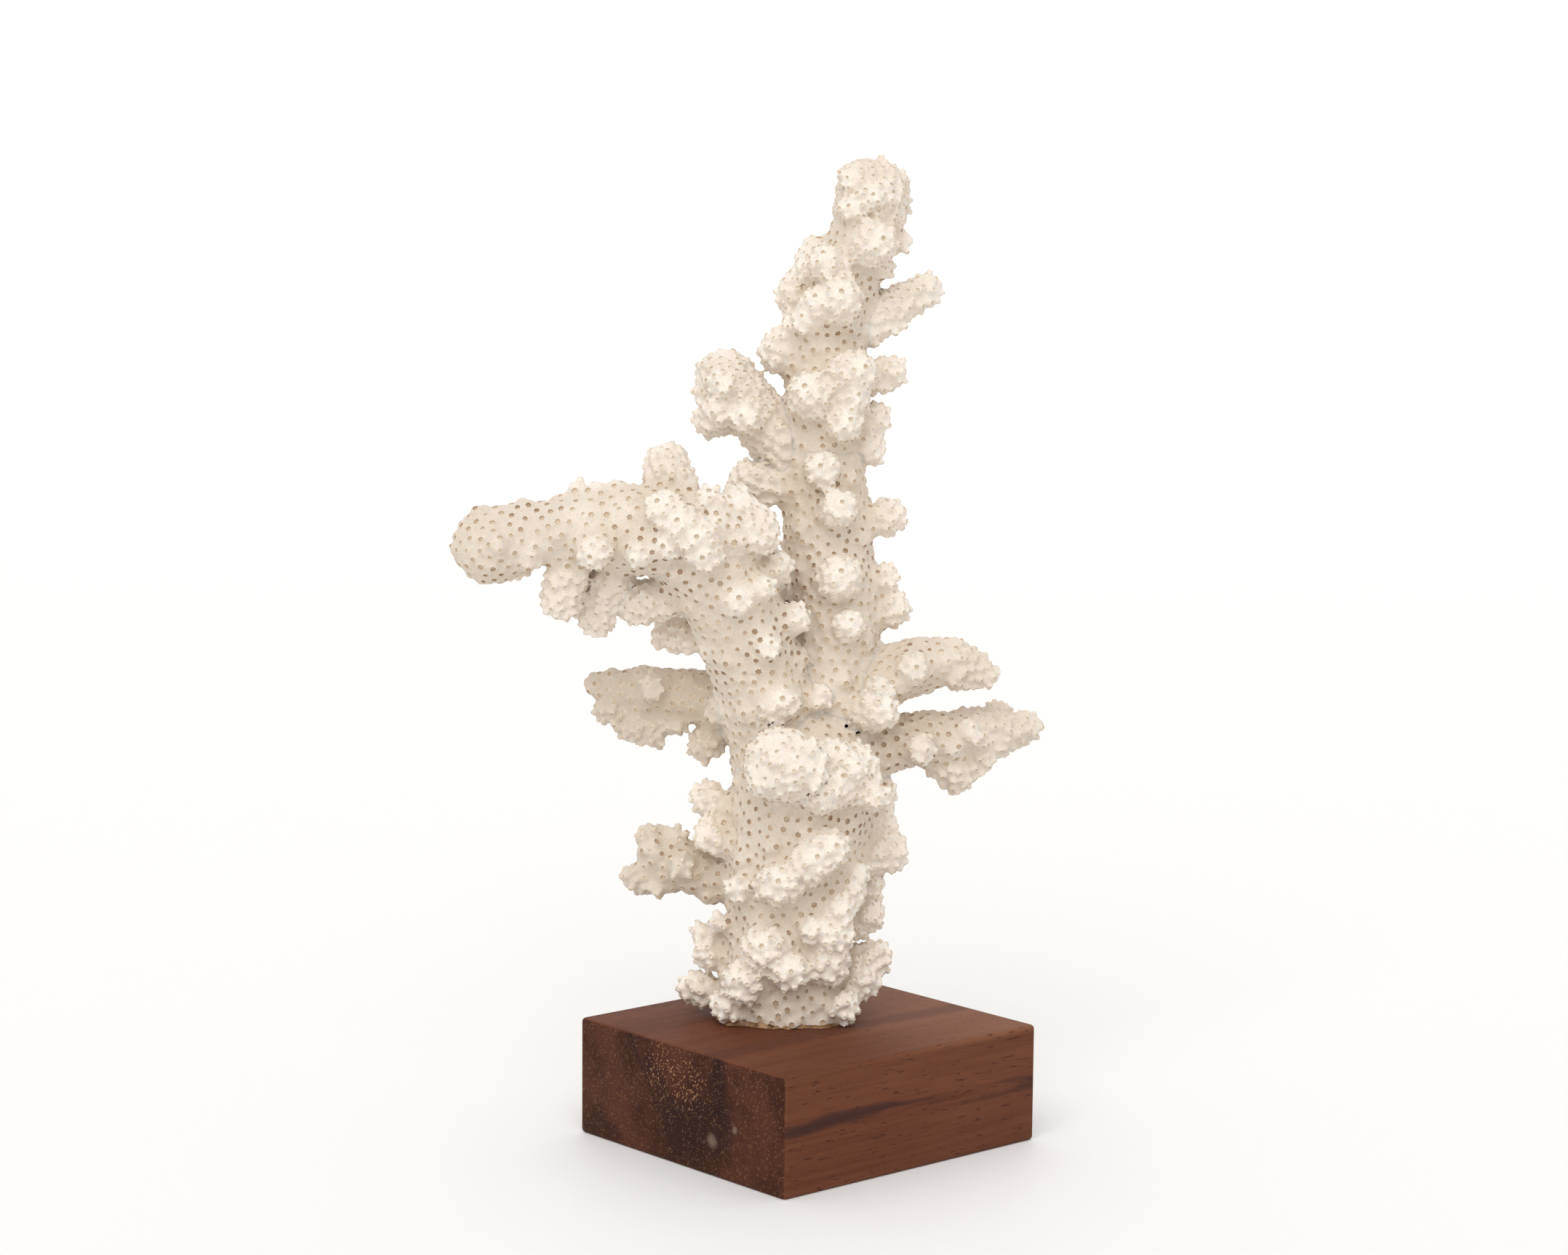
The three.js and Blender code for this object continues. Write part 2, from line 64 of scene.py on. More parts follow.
# The coral's own frame, in millimetres: x to the right, y away from the front, z up from the
# block's top. A limb has its path, as x, y, z and radius from root to end, and its branchlets,
# each given by the x, y, z of its tip and its radius. A broken limb ends blunt, one with a bare
# rear has no branchlets behind, and young says how much of a limb's skin is so. The other share
# says how far a limb's skin is darkened as painted shade, for the side branches that stand back
# in shade, and how far its thin twigs keep old cups. A limb has the name of the solid that it
# replaces.
LIMBS = {
    "trunk": {
        "path": [
            (0, 1.5, -3, 13.2), (-0.5, 1, 8, 12), (0, 0.5, 18, 11.5), (1, 0, 28, 12.8),
            (2.5, 0, 38, 14), (3.5, 0, 47, 13.5),
        ],
        "branchlets": [
            (-9.5, -13, 9.6, 4), (1, -15.5, 12, 3), (10, -12.1, 12.5, 4),
            (-4.5, -15.3, 16.6, 4.5), (6, -14.5, 19.6, 2.2), (11.5, -12.1, 22.6, 3),
            (-14.5, -5.1, 19, 1.8), (-10.5, -11.4, 27.2, 2.4), (-1.5, -17.1, 29.1, 4),
            (5.5, -17.3, 33.7, 4), (9, -16.8, 35.7, 4), (14, -9.4, 25.7, 2.5),
            (15, -8.4, 29.2, 2.5), (-20, 0, 6.5, 2.5), (-18, 0, 16.5, 2.3), (-17, -4, 36.5, 2.5),
            (-18, 0, 42.5, 2.7), (20, 0, 12, 2.8), (18.5, 0, 20, 2.8), (18.5, 1, 25.5, 2.6),
            (22.5, -1, 32, 3.4), (20.5, 0, 37.5, 2.4), (20.5, 0, 43, 3), (10, -17, 48.5, 4.2),
            (15.5, -13.5, 48, 4), (9, -15.8, 53.5, 3.2), (15.5, -12.2, 52, 2.8),
            (-13, -9.3, 4.2, 3.4), (13.2, -8.9, 4.3, 3), (17, -4, 8.5, 2.8), (11, -13, 18, 3),
            (-17.5, -1, 12.5, 2.4), (7, -18.5, 45.5, 2.6), (18, -14.5, 44.8, 2.4),
            (13, -17.6, 51, 2.4),
        ],
    },
    "front_stub": {
        "broken": True,
        "bare_rear": True,
        "path": [
            (0, -5, 46, 6.8), (-1, -12, 49, 6.5), (-1.7, -19.5, 51.5, 6.1),
        ],
        "branchlets": [
            (-1.5, -18.5, 45, 4.5), (3.5, -18.5, 45.8, 4.2), (4.2, -18.5, 51, 4.2),
            (-6.5, -19.3, 46.3, 3), (-5.5, -20.3, 55, 3), (2.6, -20.3, 56, 3),
            (-5.5, -21.5, 51, 2.2), (-2, -23.4, 54, 2.4), (1.5, -23, 48.3, 2.4),
            (-2.5, -22.6, 47, 2.2), (1.8, -22.8, 53, 2.2), (-6.8, -20.5, 48.6, 2),
            (-4, -21, 57, 2), (-1, -21, 57.3, 1.9), (5.5, -21, 54.8, 2), (6.5, -21, 47.5, 2.2),
            (4.5, -22, 50.5, 2), (-4, -22.5, 49, 1.9), (7, -20.8, 51, 3.2),
        ],
    },
    "left_limb": {
        "path": [
            (-1, 0, 46, 9), (-4, -2.5, 60, 9), (-7, -5, 70, 9), (-11, -8, 80, 9),
            (-17, -11, 89, 9),
        ],
        "branchlets": [
            (-16.5, -9.4, 70.2, 3.2), (-25.5, 0, 72, 2.4), (-31, -8, 77.5, 3.5),
            (0, -10, 88, 2.8), (3.5, -10.5, 77.6, 2.8), (-3, -15.9, 72.7, 2.6),
            (-1, -13.9, 62.2, 5), (8, -7.4, 62.7, 2.3), (-9, -19.4, 81.2, 4),
            (-3.5, -16.5, 84, 2.5),
        ],
    },
    "left_arm": {
        "path": [
            (-15, -11, 91, 8.5), (-26, -12.5, 92.5, 8.6), (-36, -13, 92.5, 6.8),
            (-45, -13.5, 92, 5.8), (-52, -14, 90.2, 7.2), (-54.6, -14, 89.2, 7),
        ],
        "branchlets": [
            (-39.5, -12.4, 101.2, 2.3), (-35.5, -13.4, 101.2, 2.3), (-32, -12.4, 101.7, 2.3),
            (-24, -9, 107.5, 3.6), (-35.5, -22.9, 88.7, 3.3), (-23.5, -22.4, 98.7, 3.4),
            (-20, -24.1, 95.6, 3.4), (-16.5, -24, 92.6, 3.2), (-15.5, -23.4, 88.7, 3.3),
            (-22.5, -22.4, 90.7, 3.5), (-2, -13, 93.1, 4.5), (-7, -13.4, 99.2, 3.2),
            (-42, -12, 76, 3.2), (-36.5, -6, 73, 3.2), (-20.5, -9.4, 102.7, 2.6),
            (-14.5, -17.4, 100.2, 3.4), (-11, -15.4, 98.7, 3.2), (-30.5, -19, 97, 2.5),
            (-37, -18.6, 96, 2.1), (-28, -22.5, 88, 2.4), (-46, -19.6, 88, 2.1),
            (-12.5, -19.5, 95, 3.1), (-8, -18, 91.5, 2.8),
        ],
    },
    "spire_lower": {
        "path": [
            (5, 2, 46, 9), (8, 3, 60, 9), (8.5, 3.5, 75, 8.8), (7, 4, 90, 8.6), (6, 4, 104, 8),
        ],
        "branchlets": [
            (11.5, -9, 76.1, 2.5), (9.5, -9.4, 85.1, 4), (9.5, -8.3, 97.5, 3),
            (5.5, -8.1, 104.1, 3), (22.5, 3, 78, 2.8), (20, 2, 84, 2.6), (21.5, 3, 95, 2.8),
            (-11, 0, 101.5, 3), (19, -8.4, 60.1, 3.2),
        ],
    },
    "spire_upper": {
        "broken": True,
        "path": [
            (6, 4, 106, 7.8), (6, 4, 115, 7.4), (7, 4, 127, 7.3), (10.5, 4, 139, 6.6),
            (14, 4, 149, 6.5), (14.8, 4, 156.3, 6.3),
        ],
        "branchlets": [
            (17.5, 2, 106, 2.6), (18.5, 2, 112.5, 2.5), (21.5, 3, 121, 2.4),
            (22.5, 4, 144.5, 2.2), (11, -7, 112.5, 3), (2.5, -7.5, 118.5, 3.8),
            (13.5, -7, 122, 4), (9, -7.5, 135.6, 4), (16.5, -6.5, 145.1, 4), (-5.5, 3, 126, 3.8),
            (-1.8, 3, 137.3, 3.3), (2, 3, 144, 3), (18.8, 4, 158, 2.8), (1, 1, 141, 3.2),
            (-1.5, 1, 130, 3.2), (16.8, 3, 137.5, 2.6), (21, 3.5, 149.5, 2.6),
            (12.5, -6.5, 117, 2.8), (10, -4.4, 151, 2.4), (14.6, -4.4, 153, 2.4),
            (5.6, -5.5, 142.5, 2.8), (4.2, -6, 134.8, 2.8), (18.5, -2.5, 153.5, 2.4),
            (9.6, -2.6, 156, 2.2), (1.8, -4.5, 131, 2.6),
        ],
    },
    "upper_left_branch": {
        "young": 1.0,
        "path": [
            (2, 4, 105, 5.5), (-4, 3.5, 110, 5.2), (-9, 3, 116, 5), (-12.8, 3, 119.8, 4.5),
        ],
        "branchlets": [
            (-17.5, 3, 119, 2.8), (-17.5, 3, 114.5, 2.8), (-17.5, 2, 110, 3.2),
            (-9, -4.4, 112.7, 2.6), (-13, 2, 124.6, 2.8), (-13.5, -4.2, 118.5, 2.6),
            (-15.5, -2.5, 112, 2.4),
        ],
    },
    "upper_right_twig": {
        "path": [
            (11, 4, 128, 3.8), (19, 4.5, 132.3, 3.2), (25.3, 5, 135.8, 2.5),
        ],
        "branchlets": [
            (20.5, 4, 127.8, 2.4), (16, 1, 127, 2),
        ],
    },
    "right_upper_branch": {
        "shade_and_age": 0.4,
        "path": [
            (10, 2, 59, 6.2), (20, 1, 65, 5.8), (27, 1, 67, 4.8), (33, 1.5, 66, 3.7),
        ],
        "branchlets": [
            (39.3, 1, 63.8, 2.1), (26.5, 2, 61, 2.6), (23.5, -7.4, 67.2, 3.2), (31, 1, 71.8, 2.3),
            (29.5, -4.6, 68, 2.4), (17.5, -7.5, 63.5, 2.4),
        ],
    },
    "right_lower_branch": {
        "shade_and_age": 0.4,
        "path": [
            (13, 2, 50, 6.5), (23, 4, 52, 5.4), (32, 6, 52.5, 4.8), (40, 7, 53, 3.3),
            (46, 8, 54, 2),
        ],
        "branchlets": [
            (33, 6, 41.8, 3.2), (28.5, 5, 45, 2.2), (34.5, 0, 55, 2.4), (26, -4.4, 51.2, 2.8),
            (37.7, 6, 45.4, 2.6), (40, 6.5, 48, 2.2), (31.5, 0, 50, 2.2), (38.5, 3, 51.5, 2),
        ],
    },
    "pointed_left_branch": {
        "shade_and_age": 1.0,
        "path": [
            (-4, 2, 58, 6), (-18, 4, 60, 4.9), (-29, 4.5, 61, 3.8), (-37, 4.5, 62, 1.3),
        ],
        "branchlets": [
            (-33, 4, 65.4, 1.5), (-26, -3.1, 63.1, 2.4), (-14, -5.4, 58.7, 2.6),
            (-34.6, 4, 54.2, 2.4), (-30, 4, 51, 2.5), (-25.5, 3, 50, 2.2), (-17.3, 2, 48, 2.6),
            (-9.5, 1, 45.5, 2.4), (-27.5, 3, 65.8, 2), (-22, 3, 53, 2.2),
        ],
    },
    "lower_left_branch": {
        "shade_and_age": 1.0,
        "path": [
            (-6, 2, 25.5, 5.4), (-17, 3, 27.2, 5), (-24, 3, 29.2, 4),
        ],
        "branchlets": [
            (-27.6, 3, 35.4, 2.3), (-21, 2, 35.2, 2.2), (-30.5, 3, 24, 2.6), (-25, 1, 22.7, 2.4),
            (-15.5, 1, 20.8, 2.8), (-20, -4.4, 29.2, 2.4), (-25.5, -1.5, 31.5, 2),
        ],
    },
}

TO_MODEL = Matrix.Translation(FOOT) @ Matrix.Rotation(CORAL_TURN, 4, "Z") @ Matrix.Scale(MM, 4)

# Steps that a limb's path is drawn in, and how many of them one straight stretch spans
CURVE_STEPS = 24
STRETCH_STEPS = 3

# A branchlet leans towards the limb's end by this share of its reach from the axis. In the skin
# it is a little thicker than its radius and ends short of its tip by the height of the cups. Its
# taper is given as places from root to tip, each with its width and whether it is flared there
# on a branchlet that faces the front. When distances to it are taken, its tip has this share of
# its radius.
BRANCHLET_LEAN = 0.3
BRANCHLET_SWELL = 0.15
KNOB_DEPTH = 0.3
BRANCHLET_TAPER = ((0.0, 1.2, 1), (0.6, 1.08, 1), (1.0, 0.96, 0))
FRONT_FLARE = 0.22
FRONT_FACING = (0.5, 0.9)
TIP_SHARE = 0.85

# Branchlets on the side turned away from the front: one to an area, the first a little way up
# the limb, then their size, the angles that they face, and how far each of these moves on from
# one to the next, as a share of its range
REAR_AREA = 330
REAR_START = 0.6
REAR_HEIGHT = (2.4, 5.2)
REAR_RADIUS = (2.3, 3.3)
REAR_LIMIT = 0.55
REAR_TURN = (28, 152)
TURN_STEP = 0.618034
HEIGHT_STEP = 0.754878
RADIUS_STEP = 0.56984

# Ends of limbs and branchlets: how far they bulge as a share of their radius, in how many rings,
# and the share of the radius that the last ring has
GROWN_END = 0.92
BROKEN_END = 0.3
END_RINGS = 5
LAST_RING = 0.03

# Thick limbs start slimmer, because the swellings round their cups make them thicker again
LIMB_SLIMMING = 0.45
THICK_LIMB = (4.0, 6.0)

# A limb that ends thinner than this has one cup at its tip, this share of its radius further on
TIP_LIMB = 5
TIP_REACH = 0.65

# Cups are young off the limbs, on thin twigs, and in part near broken ends and on young limbs.
# Each pair is where this starts and where it is full.
OFF_LIMB = (0.5, 1.8)
TWIG_RADIUS = (5.2, 4.0)
END_GAP = (15.0, 8.0)
PARTLY_YOUNG = 0.7
YOUNG = 0.45

# Marks on the skin: rounds of softening of the borders between limbs, the share of one limb from
# which cups may stand, the height over the block and the gap from a tip's own cup that they
# keep, and the gap from a tip within which the skin is paler, partly as young growth is and
# partly as a painted highlight on the nub heads
MARKS = ("limb", "grow", "knob", "tip", "swell", "room", "tone", "shade_and_age")
BORDER_SOFTENING = 6
INLAND = (0.78, 0.86)
ABOVE_FOOT = (0.4, 1.0)
TIP_ROOM = (1.5, 1.7)
TIP_PALE_AND_HIGHLIGHT = (5.5, 0.5)

# Balls that swell the skin, as radius and how far they stand out of it in millimetres
KNOLL = (2.4, 1.3)
OLD_BUD = (1.05, 0.6)
TIP_BUD = (1.55, 0.7)

# The cups and the young cups' snouts: how many sides they have, their profile as radius and
# height from the skin in millimetres, and how far every second corner of a cup is drawn in
OLD_CUP = (12, [(0.48, 0.1), (0.72, 1.2)], 0.3)
YOUNG_CUP = (7, [(0.28, 0.74), (0.4, 1.6)])
YOUNG_SNOUT = (10, [(0.74, -0.5), (0.74, 0.1), (0.5, 1.15)])
TIP_CUP = (12, [(0.3, -0.1), (0.42, 0.1), (0.5, 1.2)], 0.12)

# How these stand: the knolls' distance, the young cups' distance as a share of the old ones',
# how far they lean towards the way of growth, and the least and the greatest size
KNOLL_SPACING = 7.0 * MM
KNOLL_LEAN = 0.3
KNOLL_SIZES = (0.55, 1.15)
YOUNG_SPACING = 0.76
YOUNG_LEAN = 0.4
CUP_SIZES = (0.8, 1.2)

# A step that would leave the skin open is tried again this often, each time with its setting
# this much greater, and faces are handed over between limbs in at most so many rounds
CLOSING_TRIES = 8
CLOSING_STEP = 1.013
UNTANGLING_ROUNDS = 20

# A tip's cup is looked for from this far outside, and grows with the branchlet's radius
TIP_START = 3
TIP_SEARCH = 8 * MM
TIP_RADIUS = 3.0
TIP_SIZES = (0.75, 1.15)

# Unevenness of the skin, as the size and the height of its lumps
SKIN_LUMPS = (5.0 * MM, 1.0 * MM)
SKIN_GRIT = (0.6 * MM, 0.26 * MM)

# The edge along which the skin is cut off over the block: cuts across it, how near the block's
# top a corner counts as on it, the size of its lumps, and its least height and that of its
# lumps in millimetres
FOOT_CUTS = 63
FOOT_NEAR = 0.1 * MM
FOOT_LUMP = 3.0 * MM
FOOT_HEIGHT = 0.25
FOOT_LUMP_HEIGHT = 1.1

# The adhesive in millimetres: its corners all round, how far it spreads and rises, how uneven
# both are and over how many lumps, how far it draws back in front, and its bevel
GLUE_CORNERS = 120
GLUE_SPREAD = 13.7
GLUE_UNEVEN = 1.5
GLUE_LUMPS = 4.5
GLUE_FRONT = 2.4
GLUE_RISE = 0.7
GLUE_RISE_UNEVEN = 0.9
GLUE_RISE_LUMPS = 6.0
GLUE_SLOPE = 0.5
GLUE_SUNK = 0.05
GLUE_BACK = 1.0
GLUE_BEVEL = 0.2 * MM

# The greatest turn between two faces that is shaded smooth
CORAL_SMOOTH = math.radians(50)
GLUE_SMOOTH = math.radians(40)
BLOCK_SMOOTH = math.radians(35)

# Colours of the skeleton and of its cups
WARM_CLOUD = (0.70, 0.60, 0.48)
ROSY_PATCH = (0.75, 0.65, 0.57)
# The next colour is painted shade, laid on the side branches that stand back in shade
PAINTED_SHADE_SKIN = (0.52, 0.43, 0.33)
SKIN_SPECK = (0.62, 0.51, 0.39)
SKIN_PORE = (0.50, 0.39, 0.27)
PINK_STAIN = (0.80, 0.50, 0.45)
AGED_CUP = (0.70, 0.58, 0.44)
FRESH_CUP = (0.86, 0.77, 0.65)
SKIN_SCATTER = (1.0, 0.75, 0.5)

# The faint pink stain beside the broken stub, and its inner and outer reach
STAIN = TO_MODEL @ Vector((-6.8, -13.5, 43.6))
STAIN_REACH = (0.5 * MM, 2.2 * MM)

# Colours of the wood, along its grain and on its sawn end, and of the adhesive and the paper
DARK_BAND = (0.105, 0.036, 0.018)
BRIGHT_FIBRE = (0.185, 0.070, 0.038)
# The next colour is a painted sheen: the glancing light on the block's top face
PAINTED_TOP_SHEEN = (0.285, 0.125, 0.07)
SIDE_LINE = (0.045, 0.02, 0.017)
TOP_LINE = (0.075, 0.03, 0.02)
WOOD_PORE = (0.045, 0.016, 0.012)
END_WOOD = (0.08, 0.027, 0.015)
END_BLOTCH = (0.043, 0.015, 0.009)
HEARTWOOD = (0.024, 0.010, 0.009)
CRACK = (0.02, 0.009, 0.007)
GOLDEN = (0.42, 0.22, 0.11)
PALE = (0.36, 0.25, 0.18)
DARK_AMBER = (0.15, 0.065, 0.022)
AMBER = (0.36, 0.19, 0.07)
PAPER = (0.905, 0.895, 0.88)

# Two dark growth lines, one at a height on the sides and one at a depth on the top, how far each
# wanders, and the part of the top that gets a painted sheen, the glancing light on its right
# part, along the block and up to its top face, all in millimetres
SIDE_LINE_HEIGHT = 12.2
SIDE_LINE_WANDER = 9.0
TOP_LINE_DEPTH = -9.6
TOP_LINE_WANDER = 12.0
PAINTED_SHEEN_ALONG = (-12.0, 24.0)
PAINTED_SHEEN_TOP = (20.5, 21.8)

# Marks on the sawn end: whether the grain bends them, where they start and end as y and z, their
# inner and outer reach in millimetres, how strong they are, and their colour. The dark ones are
# the heartwood's figure and a crack, the pale ones are two knots and a scratch.
DARK_MARKS = (
    (True, (-12, 23), (-11, 13), 0.6, 3.4, 0.9, HEARTWOOD),
    (True, (-11, 9), (2, 7), 2.0, 7.5, 0.8, HEARTWOOD),
    (True, (2, 9), (8, 17), 0.3, 2.6, 0.6, HEARTWOOD),
    (False, (14.7, 22), (6.3, 9.5), 0.1, 0.5, 0.7, CRACK),
)
GOLDEN_MARK = (True, (-4, 16), (4, 16), 2.0, 7.0, 0.55, GOLDEN)
PALE_MARKS = (
    (False, (-9.2, 6.7), (-9.4, 6.5), 0.2, 1.8, 0.4, PALE),
    (False, (-15.6, 10), (-15.5, 9.8), 0.1, 1.0, 0.4, PALE),
    (True, (-12.7, 21.5), (-16.2, 16.7), 0.05, 0.5, 0.5, PALE),
)

# The camera, from the photograph's view of the block's corners. It looks along the coral's own y.
CAMERA_TURN = CORAL_TURN
CAMERA_RISE = math.radians(7.5)
CAMERA_ROLL = math.radians(0.49)
CAMERA_DISTANCE = 0.65064
CAMERA_AIM_RIGHT = -5.05 * MM
CAMERA_AIM_HEIGHT = 95.87 * MM
CAMERA_LENS = 81.34
CAMERA_SENSOR = 36.0

# The paper in metres: how far it lies in front and behind, the curve that it rises in, its
# height, and half its width
PAPER_FRONT = 1.6
PAPER_BACK = 1.2
PAPER_CURVE = 0.9
PAPER_STEPS = 12
PAPER_HEIGHT = 3.2
PAPER_HALF = 3.5

# The key light's softness, and how far it is raised and moved aside from the camera's line
KEY_ANGLE = math.radians(50)
KEY_RAISED = 0.8
KEY_ASIDE = 0.15


# Sizes and colours that a user would change


class SPECIMEN_PG_coral(bpy.types.PropertyGroup):
    """Fineness and colours of the coral"""

    skin_voxel: bpy.props.FloatProperty(
        name="Skin voxel",
        description="Size of the grid that melts the limbs and branchlets into one skin",
        default=0.65 * MM,
        unit="LENGTH",
    )
    cup_spacing: bpy.props.FloatProperty(
        name="Cup spacing",
        description="Least distance between the coral animals' cups",
        default=1.85 * MM,
        unit="LENGTH",
    )
    fine_voxel: bpy.props.FloatProperty(
        name="Fine voxel",
        description="Size of the grid that melts the swelling round each cup into the skin",
        default=0.4 * MM,
        unit="LENGTH",
    )
    kept_faces: bpy.props.FloatProperty(
        name="Kept faces",
        description="Share of the skin's faces that is kept before the cups are cut",
        default=0.72,
        min=0.1,
        max=1.0,
    )
    # The limbs' skin colour is kept darker than the tips partly as painted shade, for the shade
    # between the branchlets
    skin_colour: bpy.props.FloatVectorProperty(
        name="Skin colour",
        description="Colour of the bleached skeleton on the limbs",
        default=(0.735, 0.645, 0.55),
        subtype="COLOR",
        size=3,
    )
    # Whiter colour on the branchlets and near the tips: partly the young growth, partly a painted
    # highlight on the nub heads
    pale_tip_and_highlight_colour: bpy.props.FloatVectorProperty(
        name="Tip colour",
        description="Colour of the youngest growth at the tips",
        default=(0.895, 0.825, 0.74),
        subtype="COLOR",
        size=3,
    )
    cup_colour: bpy.props.FloatVectorProperty(
        name="Cup colour",
        description="Colour down inside the cups",
        default=(0.47, 0.33, 0.22),
        subtype="COLOR",
        size=3,
    )


class SPECIMEN_PG_block(bpy.types.PropertyGroup):
    """Edge and colour of the wood block"""

    ease: bpy.props.FloatProperty(
        name="Eased edge",
        description="Rounding of the block's edges",
        default=0.8 * MM,
        unit="LENGTH",
    )
    wood_colour: bpy.props.FloatVectorProperty(
        name="Wood colour",
        description="Middle colour of the oiled hardwood",
        default=(0.145, 0.051, 0.026),
        subtype="COLOR",
        size=3,
    )


class SPECIMEN_PG_stage(bpy.types.PropertyGroup):
    """Strength of the studio light"""

    key_strength: bpy.props.FloatProperty(
        name="Key light",
        description="Strength of the wide soft light above the camera",
        default=1.4,
    )
    surround: bpy.props.FloatProperty(
        name="Surround",
        description="Strength of the white light from all round",
        default=0.74,
    )


# Small helpers


def select_only(*objects):
    """Selects these objects alone and makes the first of them active."""
    bpy.ops.object.select_all(action="DESELECT")
    for item in objects:
        item.select_set(True)
    bpy.context.view_layer.objects.active = objects[0]


def add(operator, name, **settings):
    """Adds an object by one of Blender's own operators, with nothing else selected."""
    bpy.ops.object.select_all(action="DESELECT")
    operator(**settings)
    made = bpy.context.object
    made.name = name
    return made


def join(*items):
    """Joins meshes into the first of them."""
    select_only(*items)
    if len(items) > 1:
        bpy.ops.object.join()
    return items[0]


def apply_modifier(item, kind, **settings):
    """Adds one modifier to a mesh with these settings and applies it."""
    modifier = item.modifiers.new(kind.lower(), kind)
    for name, value in settings.items():
        setattr(modifier, name, value)
    select_only(item)
    bpy.ops.object.modifier_apply(modifier=modifier.name)


def settle(item):
    """Puts an object's place, turn and size into its mesh."""
    select_only(item)
    bpy.ops.object.transform_apply(location=True, rotation=True, scale=True)


def read(items, field, kind=int, width=1):
    """One value, or a row of them, for each item of a mesh, such as the places of its vertices."""
    values = np.empty(len(items) * width, kind)
    items.foreach_get(field, values)
    return values if width == 1 else values.reshape(-1, width)


def store(mesh, name, values, domain="POINT", kind="FLOAT"):
    """Keeps one value for each vertex or face in a named attribute."""
    field = {"FLOAT": "value", "INT": "value", "FLOAT_VECTOR": "vector"}[kind]
    attribute = mesh.attributes.new(name, kind, domain)
    attribute.data.foreach_set(field, np.ascontiguousarray(values).ravel())


def smoothstep(low, high, value):
    """0 at low, 1 at high and smooth between them, whichever is the greater."""
    part = np.clip((value - low) / (high - low), 0.0, 1.0)
    return part * part * (3.0 - 2.0 * part)


def between(ends, share):
    """A number between two, at the share that is left of a value above its whole number."""
    return ends[0] + (ends[1] - ends[0]) * (share - math.floor(share))


def lumps(place):
    """Unevenness of about one unit in size, from about -1 to 1."""
    return noises.fractal(place, 1.0, 2.0, 3)


class Socket:
    """A node socket that can be used in sums, so that shader maths reads as Python."""

    def __init__(self, tree, socket):
        self.tree = tree
        self.socket = socket

    def maths(self, operation, *others, swap=False):
        values = [self, *others]
        if swap:
            values.reverse()
        sockets = dict(enumerate(values))
        return make(self.tree, "ShaderNodeMath", {"operation": operation}, sockets)

    def __add__(self, other):
        return self.maths("ADD", other)

    __radd__ = __add__

    def __sub__(self, other):
        return self.maths("SUBTRACT", other)

    def __rsub__(self, other):
        return self.maths("SUBTRACT", other, swap=True)

    def __mul__(self, other):
        return self.maths("MULTIPLY", other)

    __rmul__ = __mul__

    def __truediv__(self, other):
        return self.maths("DIVIDE", other)

    def __pow__(self, other):
        return self.maths("POWER", other)

    def step(self, low, high):
        """0 below low, 1 above high and smooth between them."""
        settings = {"interpolation_type": "SMOOTHSTEP"}
        sockets = {"Value": self, "From Min": low, "From Max": high}
        return make(self.tree, "ShaderNodeMapRange", settings, sockets, "Result")


def make(tree, kind, settings=None, sockets=None, output=0):
    """Adds one node: its settings first, then the values and links of its sockets."""
    node = tree.nodes.new(kind)
    for name, value in (settings or {}).items():
        setattr(node, name, value)
    for name, value in (sockets or {}).items():
        if isinstance(value, Socket):
            tree.links.new(value.socket, node.inputs[name])
        else:
            node.inputs[name].default_value = value
    return Socket(tree, node.outputs[output])


def mix(share, first, second):
    """A colour between two, at a share from 0 to 1."""
    colours = [each if isinstance(each, Socket) else (*each, 1.0) for each in (first, second)]
    sockets = {0: share, 6: colours[0], 7: colours[1]}
    return make(share.tree, "ShaderNodeMix", {"data_type": "RGBA"}, sockets, 2)


def vector_maths(operation, *values, output=0, **named):
    """One step of vector maths on values, of which at least one is a socket."""
    sockets = dict(enumerate(values)) | named
    tree = next(each.tree for each in sockets.values() if isinstance(each, Socket))
    return make(tree, "ShaderNodeVectorMath", {"operation": operation}, sockets, output)


def split(vector):
    """The x, y and z of a vector."""
    node = make(vector.tree, "ShaderNodeSeparateXYZ", None, {0: vector}).socket.node
    return [Socket(vector.tree, output) for output in node.outputs]


def noise(place, scale, detail, rough=0.5, output=0):
    """Clouds of a size, from 0 to 1; the scale can differ along x, y and z."""
    if isinstance(scale, tuple):
        place = make(place.tree, "ShaderNodeMapping", None, {"Vector": place, "Scale": scale})
        scale = 1.0
    sockets = {"Vector": place, "Scale": scale, "Detail": detail, "Roughness": rough}
    return make(place.tree, "ShaderNodeTexNoise", None, sockets, output)


def near_line(place, start, end, inner, outer):
    """1 within the inner distance of a line between two points, fading to 0 at the outer one."""
    along = Vector(end) - Vector(start)
    offset = vector_maths("SUBTRACT", place, tuple(start))
    reach = vector_maths("DOT_PRODUCT", offset, tuple(along), output=1)
    share = make(place.tree, "ShaderNodeClamp", None, {0: reach / along.length_squared})
    foot = vector_maths("SCALE", tuple(along), Scale=share)
    gap = vector_maths("DISTANCE", offset, foot, output=1)
    return gap.step(outer, inner)


def new_material(name):
    """A material with its node tree and its Principled shader."""
    material = bpy.data.materials.new(name)
    material.use_nodes = True
    return material, material.node_tree, material.node_tree.nodes["Principled BSDF"]


def object_place(tree):
    """The place on the piece, in metres."""
    return make(tree, "ShaderNodeTexCoord", output="Object")


def kept(tree, name):
    """A number that is kept on the mesh."""
    return make(tree, "ShaderNodeAttribute", {"attribute_name": name}, output="Fac")


def bumps(height, strength, distance):
    """A normal bent by a height."""
    sockets = {"Strength": strength, "Distance": distance, "Height": height}
    return make(height.tree, "ShaderNodeBump", None, sockets)


